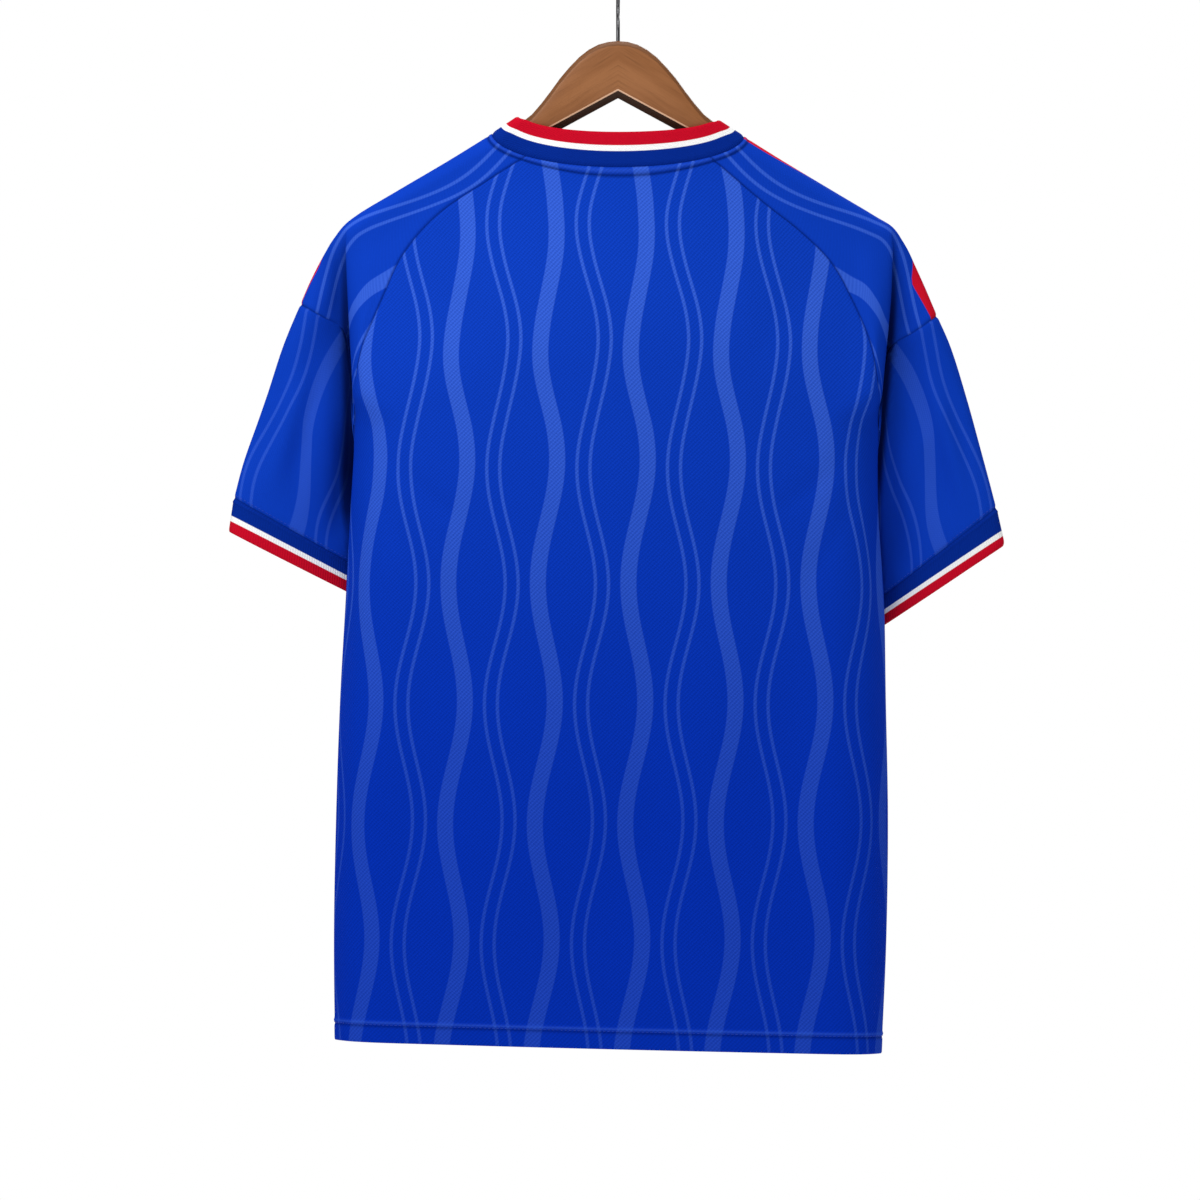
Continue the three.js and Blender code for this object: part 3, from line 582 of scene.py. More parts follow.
    def flat_yoke(
        self, side: Side, face: Face, t: Array, share: Array
    ) -> tuple[Array, Array]:
        """Places points on a yoke laid flat, in rings from the neck seam to the cross seam.

        Args:
            side: The side of the garment.
            face: The face of the garment.
            t: Shares of the way from the neck seam to the cross seam, as a column or a grid.
            share: Shares of the way from the crest to the raglan seam, as a row.

        Returns:
            The points, a row for each t, and the shares of the depth that the crest's rounding leaves.
        """
        crest_path = self.crest(side)
        seam_path = self.raglan(side, face)
        cross_path = self.cross_seam(side)
        crest = crest_path.at(t)
        place = lerp(crest, seam_path.at(t), share[..., None])
        neck_chord = lerp(crest_path.at(0.0), seam_path.at(0.0), share[..., None])
        neck_x, neck_z = self.neck_seam(side, face, self.junction_angle[face] * share)
        on_neck = np.stack([neck_x, np.zeros_like(neck_x), neck_z], axis=-1)
        place = place + (on_neck - neck_chord) * ((1.0 - t) ** self.neck_fade_power)[..., None]
        cross_chord = lerp(cross_path.at(0.0), cross_path.at(1.0), share[..., None])
        turned = smooth((t - self.cross_seam_start) / (1.0 - self.cross_seam_start))
        place = place + (cross_path.at(share) - cross_chord) * turned[..., None]
        along = crest_path.along(t)
        aside = place - crest
        away = np.abs(aside[..., 0] * along[..., 2] - aside[..., 2] * along[..., 0])
        near, far = self.crest_rounding
        start, run = self.crest_flattening
        reach = lerp(near, far, smooth((t - start) / run))
        return place, rounding(away, reach)

    def yoke(self, side: Side, face: Face, t: Array, share: Array) -> Array:
        """Places points on a yoke, in rings from the neck seam, t = 0, to the cross seam, t = 1."""
        place, rounded = self.flat_yoke(side, face, t, share)
        return self.on_face(face, place[..., 0], place[..., 2], rounded)

    def fold_place(self, side: Side, face: Face, share: Array) -> Array:
        """Finds where a yoke's columns cross the fold between body and sleeve.

        Args:
            side: The side of the garment.
            face: The face of the garment.
            share: Shares of the way from the crest to the raglan seam, as a row.

        Returns:
            The share of the way from the neck seam to the cross seam, one number a column.
        """
        t = np.linspace(0.5, 1.0, 501)
        place, _ = self.flat_yoke(side, face, t[:, None], share)
        outside = self.outside(place[..., 0], place[..., 2])
        beyond = outside > 0
        first = np.maximum(np.argmax(beyond, axis=0), 1)
        columns = np.arange(share.shape[1])
        before, after = outside[first - 1, columns], outside[first, columns]
        found = lerp(t[first - 1], t[first], before / (before - after))
        return np.where(beyond.any(axis=0), np.minimum(found, self.last_fold), self.last_fold)


FORM = GarmentForm()


@dataclass(frozen=True)
class Crease:
    """A soft trough or ridge in the cloth, placed as x and z on one face."""

    RISE = 0.35
    FALL = 0.45
    UNEVEN = 0.16
    SWINGS = 7.3
    PHASE = 310.0
    SPREAD = (0.8, 1.2)
    start: Pair
    end: Pair
    width: float
    depth: float
    bow: float = 0.0
    face: Optional[Face] = None

    def height(self, x: Array, z: Array) -> Array:
        """Gives how far the crease lifts the cloth.

        Args:
            x: Places across.
            z: Heights.

        Returns:
            The lift there, less than 0 in a trough.
        """
        run = np.array(self.end) - np.array(self.start)
        length = float(np.linalg.norm(run))
        way = run / length
        dx, dz = x - self.start[0], z - self.start[1]
        share = (dx * way[0] + dz * way[1]) / length
        aside = dx * way[1] - dz * way[0] - self.bow * 4.0 * share * (1.0 - share)
        held = np.clip(share, 0.0, 1.0)
        taper = smooth(held / self.RISE) * smooth((1.0 - held) / self.FALL)
        uneven = 1.0 - self.UNEVEN + self.UNEVEN * np.sin(held * self.SWINGS + self.width * self.PHASE)
        spread = self.width * lerp(*self.SPREAD, held)
        return self.depth * taper * uneven * bump(aside, spread)


def crease_height(creases: Iterable[Crease], face: Face, points: Array) -> Array:
    """Adds up the creases of one face.

    Args:
        creases: The creases of a piece.
        face: The face that the points lie on.
        points: The grid, as rows, columns and coordinates.

    Returns:
        How far the creases lift the cloth there.
    """
    total = np.zeros(points.shape[:2])
    for crease in creases:
        if crease.face in (None, face):
            total += crease.height(points[..., 0], points[..., 2])
    return total


def two_faced_height(creases: Iterable[Crease], points: Array, split: int) -> Array:
    """Adds up the creases of a grid that goes round from the back to the front.

    Args:
        creases: The creases of a piece.
        points: The grid, as rows, columns and coordinates.
        split: The first column that lies on the front.

    Returns:
        How far the creases lift the cloth there.
    """
    halves = ((Face.BACK, points[:, :split]), (Face.FRONT, points[:, split:]))
    return np.concatenate([crease_height(creases, face, half) for face, half in halves], axis=1)


def grid_normals(points: Array, closed: bool, turn: int) -> Array:
    """Works out the normals of a grid of points, out of the garment.

    Args:
        points: The grid, as rows, columns and coordinates.
        closed: Whether the last column joins the first.
        turn: 1 or -1, the sense in which the columns run.

    Returns:
        Unit vectors of the same shape.
    """
    down = np.gradient(points, axis=0)
    if closed:
        across = np.roll(points, -1, axis=1) - np.roll(points, 1, axis=1)
    else:
        across = np.gradient(points, axis=1)
    normals = np.cross(down, across) * turn
    return normals / np.maximum(np.linalg.norm(normals, axis=-1, keepdims=True), 1e-12)


def from_edge(points: Array, edge: Edge) -> tuple[Array, Array]:
    """Turns a grid so that an edge comes first, and measures the way in from it.

    Args:
        points: The grid, as rows, columns and coordinates.
        edge: The edge to start from.

    Returns:
        The turned grid, and the distance of each of its points from that edge.
    """
    turned = points
    if edge in (Edge.LEFT, Edge.RIGHT):
        turned = np.swapaxes(turned, 0, 1)
    if edge in (Edge.BOTTOM, Edge.RIGHT):
        turned = turned[::-1]
    steps = np.linalg.norm(np.diff(turned, axis=0), axis=-1)
    distance = np.concatenate([np.zeros((1, steps.shape[1])), np.cumsum(steps, axis=0)])
    return turned, distance


def edge_distance(points: Array, edge: Edge) -> Array:
    """Measures each point's distance from an edge of its grid.

    Args:
        points: The grid, as rows, columns and coordinates.
        edge: The edge to measure from.

    Returns:
        The distances, as rows and columns.
    """
    _, distance = from_edge(points, edge)
    if edge in (Edge.BOTTOM, Edge.RIGHT):
        distance = distance[::-1]
    if edge in (Edge.LEFT, Edge.RIGHT):
        distance = np.swapaxes(distance, 0, 1)
    return distance


def line_beside(points: Array, values: Array, edge: Edge, distance: float) -> Array:
    """Reads values along a line that runs beside an edge.

    Args:
        points: The grid, as rows, columns and coordinates.
        values: What to read, such as the points or their normals, of the same shape.
        edge: The edge that the line follows.
        distance: How far inside that edge it runs.

    Returns:
        The values along the line.
    """
    _, reach = from_edge(points, edge)
    turned, _ = from_edge(values, edge)
    return np.stack([read_line(distance, reach[:, k], turned[:, k]) for k in range(turned.shape[1])])


def clustered(count: int, ends: Sequence[float]) -> Array:
    """Gives even shares from 0 to 1 with a few more close to both ends.

    Args:
        count: Number of even steps.
        ends: The extra shares near 0, which are mirrored near 1.

    Returns:
        The shares in order.
    """
    even = np.linspace(0.0, 1.0, count + 1)
    margin = max(ends) * 1.4
    inner = even[(even > margin) & (even < 1.0 - margin)]
    near = np.array(ends)
    return np.unique(np.concatenate([[0.0], near, inner, 1.0 - near, [1.0]]))


def closer_at_ends(even: Array) -> Array:
    """Draws even shares from 0 to 1 closer together towards both ends."""
    return lerp(even, 0.5 - 0.5 * np.cos(math.pi * even), 0.75)


def deselect_all() -> None:
    """Takes every object out of the selection."""
    if bpy.context.object is not None and bpy.context.object.mode != "OBJECT":
        bpy.ops.object.mode_set(mode="OBJECT")
    bpy.ops.object.select_all(action="DESELECT")


def make_active(piece: Object) -> None:
    """Selects one object alone and makes it the active one.

    Args:
        piece: The object.
    """
    deselect_all()
    piece.select_set(True)
    bpy.context.view_layer.objects.active = piece


def apply_modifiers(piece: Object) -> None:
    """Applies each modifier of an object in order.

    Args:
        piece: The object.
    """
    make_active(piece)
    for name in [modifier.name for modifier in piece.modifiers]:
        bpy.ops.object.modifier_apply(modifier=name)


def apply_place(piece: Object) -> None:
    """Puts an object's place, turn and scale into its mesh."""
    make_active(piece)
    bpy.ops.object.transform_apply(location=True, rotation=True, scale=True)


class Shade:
    """A short way to write a material's nodes."""

    # The colour that the painted shade in the seams and folds darkens towards.
    DEEPEST = (0.0, 0.0012, 0.022)

    def __init__(self, name: str) -> None:
        """Starts a material with a Principled shader.

        Args:
            name: The material's name.
        """
        self.material = bpy.data.materials.new(name)
        self.material.use_nodes = True
        self.tree = self.material.node_tree
        self.shader = self.tree.nodes["Principled BSDF"]

    def node(self, kind: str, **settings: object) -> bpy.types.Node:
        """Adds a node.

        Args:
            kind: The node's type.
            settings: Properties to set on it.

        Returns:
            The node.
        """
        node = self.tree.nodes.new(kind)
        for key, value in settings.items():
            setattr(node, key, value)
        return node

    def join(self, source: object, target: Socket) -> None:
        """Sets a socket to a number or colour, or links another socket to it.

        Args:
            source: A socket, a number or a colour.
            target: The socket to feed.
        """
        if isinstance(source, Socket):
            self.tree.links.new(source, target)
        else:
            target.default_value = source

    def math(self, operation: str, *values: object) -> Socket:
        """Adds a Math node.

        Args:
            operation: The node's operation.
            values: Its inputs, as sockets or numbers.

        Returns:
            Its output socket.
        """
        node = self.node("ShaderNodeMath", operation=operation)
        for value, target in zip(values, node.inputs):
            self.join(value, target)
        return node.outputs[0]

    def times(self, first: object, *others: object) -> Socket:
        """Multiplies sockets or numbers."""
        return reduce(lambda product, value: self.math("MULTIPLY", product, value), others, first)

    def scaled(self, value: object, factor: object, start: object) -> Socket:
        """Gives a value times a factor, plus a start."""
        return self.math("MULTIPLY_ADD", value, factor, start)

    def less(self, first: object, second: object) -> Socket:
        """Takes the second value from the first."""
        return self.math("SUBTRACT", first, second)

    def wave(self, value: object, turns: float) -> Socket:
        """Gives the sine of a value times a number of turns, in radians."""
        return self.math("SINE", self.times(value, turns))

    def tinted(self, colour: object, tone: object) -> Socket:
        """Gives a colour times a grey tone."""
        grey = self.node("ShaderNodeCombineColor")
        for target in grey.inputs[:3]:
            self.join(tone, target)
        return self.mix(1.0, colour, grey.outputs[0], "MULTIPLY")

    def mix(self, factor: object, first: object, second: object, blend: str = "MIX") -> Socket:
        """Adds a colour mix.

        Args:
            factor: How much of the second colour there is.
            first: The first colour.
            second: The second colour.
            blend: The way in which they mix.

        Returns:
            The mixed colour's socket.
        """
        node = self.node("ShaderNodeMix", data_type="RGBA", blend_type=blend)
        sockets = {socket.identifier: socket for socket in node.inputs}
        for name, source in (("Factor_Float", factor), ("A_Color", first), ("B_Color", second)):
            self.join(source, sockets[name])
        return next(socket for socket in node.outputs if socket.identifier == "Result_Color")

    def step(self, value: object, start: float, end: float) -> Socket:
        """Eases from 0 to 1 as a value goes from start to end.

        Args:
            value: The socket to read.
            start: The value that gives 0.
            end: The value that gives 1.

        Returns:
            The eased socket.
        """
        node = self.node("ShaderNodeMapRange", interpolation_type="SMOOTHSTEP")
        self.join(value, node.inputs["Value"])
        node.inputs["From Min"].default_value = start
        node.inputs["From Max"].default_value = end
        return node.outputs["Result"]

    def noise(
        self, vector: object, scale: float, detail: float = 2.0, stretch: Optional[Point] = None
    ) -> Socket:
        """Adds a noise texture.

        Args:
            vector: The coordinates.
            scale: The noise's scale.
            detail: The noise's detail.
            stretch: Scale of the coordinates on each axis.

        Returns:
            The noise's grey socket.
        """
        if stretch is not None:
            mapping = self.node("ShaderNodeMapping")
            self.join(vector, mapping.inputs["Vector"])
            mapping.inputs["Scale"].default_value = stretch
            vector = mapping.outputs[0]
        node = self.node("ShaderNodeTexNoise")
        self.join(vector, node.inputs["Vector"])
        node.inputs["Scale"].default_value = scale
        node.inputs["Detail"].default_value = detail
        return node.outputs[0]

    def places(self) -> Socket:
        """The coordinates of the object itself."""
        return self.node("ShaderNodeTexCoord").outputs["Object"]

    def cut(self, layer: str = "cut") -> tuple[Socket, Socket]:
        """Reads a layer of the cloth.

        Args:
            layer: The layer's name.

        Returns:
            Its two coordinates. In the layer named cut they are the place across and along, in metres.
        """
        split = self.node("ShaderNodeSeparateXYZ")
        uv = self.node("ShaderNodeUVMap", uv_map=layer)
        self.join(uv.outputs[0], split.inputs[0])
        return split.outputs[0], split.outputs[1]

    def toned(self, colour: object, light: object, strength: float) -> Socket:
        """Paints shade into a colour in the seams and folds, and paints highlights along the ridges.

        Args:
            colour: The colour.
            light: The colour of a ridge's painted highlight.
            strength: How much the painted shade darkens the colour where the cloth lies deepest.

        Returns:
            The toned colour's socket.
        """
        dark, bright = self.cut("shade")
        colour = self.mix(bright, colour, light)
        return self.mix(self.times(dark, strength), colour, rgba(self.DEEPEST))

    def surface(
        self, colour: object, roughness: object, specular: float, relief: object, depth: float
    ) -> None:
        """Feeds the shader's colour, roughness and bump.

        Args:
            colour: The base colour.
            roughness: The roughness.
            specular: The strength of the gloss.
            relief: The height of the bump, from 0 to 1.
            depth: The bump's depth in metres.
        """
        self.join(colour, self.shader.inputs["Base Color"])
        self.join(roughness, self.shader.inputs["Roughness"])
        self.shader.inputs["Specular IOR Level"].default_value = specular
        lift = self.node("ShaderNodeBump")
        lift.inputs["Strength"].default_value = 1.0
        lift.inputs["Distance"].default_value = depth
        self.join(relief, lift.inputs["Height"])
        self.join(lift.outputs[0], self.shader.inputs["Normal"])


def rgba(colour: Colour, factor: float = 1.0) -> tuple[float, float, float, float]:
    """Gives a linear colour, brightened by a factor, as a shader socket takes it."""
    return (colour[0] * factor, colour[1] * factor, colour[2] * factor, 1.0)


@dataclass(frozen=True)
class KnitFinish:
    """Blue polyester knit with tonal ribbons and pairs of fine lines that wave against each other, with
    shade painted in darker towards the hem.
    """

    name: str
    ground: Colour = (0.0032, 0.042, 0.448)
    light: Colour = (0.032, 0.104, 0.590)
    mesh_depth: float = 0.00022
    mesh_tone: float = 0.24
    cell: float = 0.036
    ribbon_half: float = 0.0064
    line_half: float = 0.0013
    line_offset: float = 0.0052
    wave: float = 0.0075
    wavelength: float = 0.19
    knit_pitch: float = 0.0036
    # Painted shade: along the cloth towards the hem the knit gets a deeper ground, a darker tone and fainter
    # stripes, standing in for light that falls off down the garment.
    fade_start: float = 0.04
    fade_end: float = 0.60
    stripe_strength: float = 0.92
    low_tone: float = 0.88
    low_ground: Colour = (0.0008, 0.029, 0.450)
    low_stripes: float = 0.40
    red_band: Optional[Pair] = None
    red: Colour = (0.58, 0.006, 0.022)
    cloud_scale: float = 9.0
    cloud_tone: float = 0.10
    dot_tone: float = 0.36
    band_blur: float = 0.0008
    stripe_blur: float = 0.0006
    knit_slant: float = 1.3

    def build(self) -> Material:
        """Makes the material.

        Returns:
            The material.
        """
        shade = Shade(self.name)
        across, along = shade.cut()
        stripes = self._stripes(shade, across, along)
        knit = self._knit(shade, across, along)
        cloudy = shade.noise(shade.places(), self.cloud_scale, 3.0)
        tone = shade.scaled(cloudy, self.cloud_tone, 1.0 - self.cloud_tone / 2)
        fine = shade.scaled(knit, self.mesh_tone, 1.0 - self.mesh_tone / 2)
        # Painted shade, growing along the cloth towards the hem.
        lower_shade = shade.step(along, self.fade_start, self.fade_end)
        lost = (self.low_stripes - 1.0) * self.stripe_strength
        strength = shade.scaled(lower_shade, lost, self.stripe_strength)
        dotted = shade.scaled(knit, self.dot_tone, 1.0 - self.dot_tone / 2)
        ground = shade.mix(lower_shade, rgba(self.ground), rgba(self.low_ground))
        light = shade.mix(shade.times(stripes, shade.times(strength, dotted)), ground, rgba(self.light))
        low = shade.scaled(lower_shade, self.low_tone - 1.0, 1.0)
        colour = shade.tinted(light, shade.times(tone, fine, low))
        if self.red_band is not None:
            beside, _ = shade.cut("band")
            begun, ended = (shade.step(beside, limit, limit + self.band_blur) for limit in self.red_band)
            colour = shade.mix(shade.times(begun, shade.less(1.0, ended)), colour, rgba(self.red))
        relief = shade.scaled(stripes, 0.5, knit)
        # Painted shade in the seams and folds, and painted highlights on the sewn ridges.
        shade.surface(shade.toned(colour, rgba(self.light), 0.95), 0.7, specular=0.015, relief=relief,
                      depth=self.mesh_depth)
        return shade.material

    def _stripes(
        self, shade: Shade, across: Socket, along: Socket
    ) -> Socket:
        """Adds the nodes of the tonal design.

        Args:
            shade: The material being made.
            across: The cloth's coordinate across the stripes.
            along: The cloth's coordinate along them.

        Returns:
            A mask that is 1 on the light ribbons and lines.
        """
        count = shade.math("FLOOR", shade.math("DIVIDE", across, self.cell))
        local = shade.less(across, shade.times(shade.math("ADD", count, 0.5), self.cell))
        odd = shade.math("FLOORED_MODULO", count, 2.0)
        swing = shade.wave(along, 2.0 * math.pi / self.wavelength)
        waving = shade.times(swing, shade.scaled(odd, -2.0, 1.0), self.wave)
        away = shade.math("ABSOLUTE", shade.less(local, waving))
        beside = shade.math("ABSOLUTE", shade.less(away, self.line_offset))
        blur = self.stripe_blur
        ribbon, lines = (
            shade.less(1.0, shade.step(distance, half - blur, half + blur))
            for distance, half in ((away, self.ribbon_half), (beside, self.line_half))
        )
        return shade.math("ADD", shade.times(ribbon, shade.less(1.0, odd)), shade.times(lines, odd))

    def _knit(
        self, shade: Shade, across: Socket, along: Socket
    ) -> Socket:
        """Adds the nodes of the fine diagonal mesh.

        Args:
            shade: The material being made.
            across: The cloth's coordinate across the stripes.
            along: The cloth's coordinate along them.

        Returns:
            The mesh's height, from 0 to 1.
        """
        turns = 2.0 * math.pi / self.knit_pitch
        rising = shade.wave(shade.math("ADD", across, along), turns)
        falling = shade.wave(shade.less(across, shade.times(along, self.knit_slant)), turns * 1.1)
        return shade.scaled(shade.scaled(falling, 0.5, rising), 0.33, 0.5)


@dataclass(frozen=True)
class RibFinish:
    """Rib knit with bands of colour that run beside its free edge."""

    name: str
    white_band: Pair
    ground: Colour = (0.0016, 0.023, 0.265)
    white: Colour = (0.95, 0.95, 0.95)
    red: Colour = (0.56, 0.0040, 0.020)
    wale: float = 0.0022
    course: float = 0.0011
    band_blur: float = 0.0003

    def build(self) -> Material:
        """Makes the material.

        Returns:
            The material.
        """
        shade = Shade(self.name)
        across, along = shade.cut()
        in_white, in_blue = (
            shade.step(along, limit - self.band_blur, limit + self.band_blur) for limit in self.white_band
        )
        colour = shade.mix(in_white, rgba(self.red), rgba(self.white))
        colour = shade.mix(in_blue, colour, rgba(self.ground))
        ribs = shade.wave(across, 2.0 * math.pi / self.wale)
        courses = shade.wave(along, 2.0 * math.pi / self.course)
        relief = shade.scaled(courses, 0.16, shade.scaled(ribs, 0.34, 0.5))
        cloudy = shade.noise(shade.places(), 14.0, 2.0)
        tone = shade.math("ADD", shade.scaled(cloudy, 0.12, 0.90), shade.times(ribs, 0.035))
        colour = shade.tinted(colour, tone)
        # Painted shade in the seams and in the fold beside the body.
        shade.surface(shade.toned(colour, colour, 0.75), 0.8, specular=0.015, relief=relief, depth=0.00025)
        return shade.material


@dataclass(frozen=True)
class ThreadFinish:
    """Twisted sewing thread."""

    name: str = "sewing_thread"
    colour: Colour = (0.006, 0.045, 0.44)

    def build(self) -> Material:
        """Makes the material.

        Returns:
            The material.
        """
        shade = Shade(self.name)
        twist = shade.noise(shade.places(), 900.0, 1.0)
        colour = shade.mix(twist, rgba(self.colour, 0.8), rgba(self.colour, 1.25))
        shade.surface(colour, 0.5, specular=0.3, relief=twist, depth=0.0001)
        return shade.material


@dataclass(frozen=True)
class WoodFinish:
    """Satin varnished brown wood, its grain along each arm of the hanger."""

    name: str = "varnished_wood"
    dark: Colour = (0.140, 0.052, 0.017)
    middle: Colour = (0.255, 0.098, 0.034)
    light: Colour = (0.330, 0.135, 0.051)
    # Below 1 this darkens every colour, for the copies with painted shade.
    shade_factor: float = 1.0
    grain_slope: float = 0.62
    grain_layers: tuple[tuple[float, Point], ...] = (
        (3.0, (9.0, 30.0, 60.0)), (4.0, (26.0, 160.0, 900.0)), (2.0, (110.0, 500.0, 2600.0)),
    )

    def build(self) -> Material:
        """Makes the material.

        Returns:
            The material.
        """
        shade = Shade(self.name)
        split = shade.node("ShaderNodeSeparateXYZ")
        shade.join(shade.places(), split.inputs[0])
        x, y, z = split.outputs
        aside = shade.math("ABSOLUTE", x)
        across = shade.scaled(aside, self.grain_slope, z)
        along = shade.scaled(z, -self.grain_slope, aside)
        grain = shade.node("ShaderNodeCombineXYZ")
        for value, target in zip((along, y, across), grain.inputs):
            shade.join(value, target)
        broad, fine, pores = (shade.noise(grain.outputs[0], 1.0, *layer) for layer in self.grain_layers)
        colours = (self.dark, self.middle, self.light)
        dark, middle, light = (rgba(colour, self.shade_factor) for colour in colours)
        colour = shade.mix(shade.step(broad, 0.34, 0.66), middle, light)
        colour = shade.mix(shade.times(shade.step(fine, 0.50, 0.78), 0.55), colour, dark)
        colour = shade.mix(shade.times(shade.step(pores, 0.62, 0.78), 0.22), colour, dark)
        roughness = shade.scaled(fine, 0.16, 0.32)
        shade.surface(colour, roughness, specular=0.16, relief=fine, depth=0.00012)
        shade.shader.inputs["Coat Weight"].default_value = 0.05
        shade.shader.inputs["Coat Roughness"].default_value = 0.25
        return shade.material


@dataclass(frozen=True)
class SteelFinish:
    """Dark plated steel wire."""

    name: str = "plated_steel"
    colour: Colour = (0.10, 0.10, 0.105)

    def build(self) -> Material:
        """Makes the material.

        Returns:
            The material.
        """
        shade = Shade(self.name)
        drawn = shade.noise(shade.places(), 260.0, 3.0)
        colour = shade.mix(drawn, rgba(self.colour, 0.8), rgba(self.colour, 1.3))
        roughness = shade.scaled(drawn, 0.18, 0.24)
        shade.surface(colour, roughness, specular=0.5, relief=drawn, depth=0.00004)
        shade.shader.inputs["Metallic"].default_value = 1.0
        return shade.material


@dataclass(frozen=True)
class FloorFinish:
    """Plain pale floor."""

    name: str = "pale_floor"
    colour: Colour = (0.965, 0.965, 0.965)

    def build(self) -> Material:
        """Makes the material.

        Returns:
            The material.
        """
        shade = Shade(self.name)
        cloudy = shade.noise(shade.places(), 3.0, 2.0)
        colour = shade.mix(cloudy, rgba(self.colour, 0.99), rgba(self.colour, 1.01))
        shade.surface(colour, 0.9, specular=0.1, relief=cloudy, depth=0.0001)
        return shade.material


@dataclass
class ClothPatch:
    """A patch of cloth as a grid of points with its outline on the flat cloth."""

    points: Array
    closed: bool
    turn: int
    shade: Optional[Array] = None
    shine: Optional[Array] = None
    band: Optional[Array] = None

    def normals(self) -> Array:
        """The patch's normals, out of the garment."""
        return grid_normals(self.points, self.closed, self.turn)

    def from_edges(self, *edges: Edge) -> list[Array]:
        """Each point's distance from each of some edges."""
        return [edge_distance(self.points, edge) for edge in edges]

    def _tone(self, tone: Optional[Array]) -> Array:
        """A shade or shine, or none of it, with its first column once more at the end."""
        full = np.zeros(self.points.shape[:2]) if tone is None else tone
        return np.concatenate([full, full[:, :1]], axis=1)

    def moved(self, height: Array) -> "ClothPatch":
        """Lifts the patch along its normals, each point by its height."""
        return replace(self, points=self.points + self.normals() * height[..., None])

    def shaded(self, *shades: Array) -> "ClothPatch":
        """Darkens the patch where the deepest of some shades lies, as shares from 0 to 1."""
        return replace(self, shade=np.clip(np.maximum.reduce(shades), 0.0, 1.0))

    def shone(self, *shines: Array) -> "ClothPatch":
        """Lightens the patch along the ridges that catch the light, as shares from 0 to 1."""
        return replace(self, shine=np.clip(np.maximum.reduce(shines), 0.0, 1.0))

    def cut_coordinates(self, centre: int, fold: float = 1.0) -> tuple[Array, Array]:
        """Works out where each point lies on the flat cloth.

        Args:
            centre: The column from which the width is measured.
            fold: How much of the cloth that lies in the depth of a fold is counted.

        Returns:
            The coordinates across and along, with one column more on a closed patch.
        """
        points = self.points * np.array([1.0, fold, 1.0])
        if self.closed:
            points = np.concatenate([points, points[:, :1]], axis=1)
        steps = np.linalg.norm(np.diff(points, axis=1), axis=-1)
        across = np.concatenate([np.zeros((len(points), 1)), np.cumsum(steps, axis=1)], axis=1)
        across = across - across[:, centre : centre + 1]
        down = np.linalg.norm(np.diff(points, axis=0), axis=-1)
        along = np.concatenate([np.zeros((1, points.shape[1])), np.cumsum(down, axis=0)])
        return across, along

    def build(self, name: str, across: Array, along: Array, wall: float) -> Object:
        """Makes the patch into a piece of cloth with a wall.

        Args:
            name: The piece's name.
            across: The coordinate across the flat cloth.
            along: The coordinate along the flat cloth.
            wall: The cloth's thickness, inside the patch.

        Returns:
            The piece.
        """
        rows, columns = self.points.shape[:2]
        spans = columns if self.closed else columns - 1
        i, j = np.meshgrid(np.arange(rows - 1), np.arange(spans), indexing="ij")
        i, j = i.ravel(), j.ravel()
        corners = [(i, j), (i + 1, j), (i + 1, j + 1), (i, j + 1)]
        if self.turn < 0:
            corners = [corners[0], corners[3], corners[2], corners[1]]
        faces = np.stack([a * columns + (b % columns) for a, b in corners], axis=1)
        mesh = bpy.data.meshes.new(name)
        mesh.from_pydata(self.points.reshape(-1, 3).tolist(), [], faces.tolist())
        layers = {"cut": (across, along), "shade": (self._tone(self.shade), self._tone(self.shine))}
        if self.band is not None:
            layers["band"] = (self.band, along)
        for title, pair in layers.items():
            layer = mesh.uv_layers.new(name=title)
            uv = np.stack([np.stack([values[a, b] for values in pair], axis=-1) for a, b in corners], axis=1)
            layer.data.foreach_set("uv", uv.reshape(-1).astype(np.float32))
        piece = bpy.data.objects.new(name, mesh)
        bpy.context.scene.collection.objects.link(piece)
        shell = piece.modifiers.new("wall", "SOLIDIFY")
        shell.thickness = wall
        shell.offset = -1.0
        apply_modifiers(piece)
        bpy.ops.object.shade_smooth_by_angle(angle=CLOTH_SMOOTHING)
        return piece


@dataclass(frozen=True)
class Cut:
    """The flat size that a piece of cloth is cut to."""

    width: float
    length: float
    area: float


@dataclass
class ClothPiece:
    """What every cut piece shares: its name, its cut and how it is dressed."""

    name: str
    node: str
    slot: str
    cut: Cut
    material: Material
    rests_on: tuple[str, ...] = ()

    def dress(self, piece: Object) -> None:
        """Gives a finished mesh its material, hangs it under the root and hides the part of model.glb that
        it stands for.

        Args:
            piece: The finished mesh.
        """
        piece.data.materials.clear()
        piece.data.materials.append(self.material)
        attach(piece, "root")
        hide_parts(self.node)
        LOG.info("%s: %d faces", piece.name, len(piece.data.polygons))


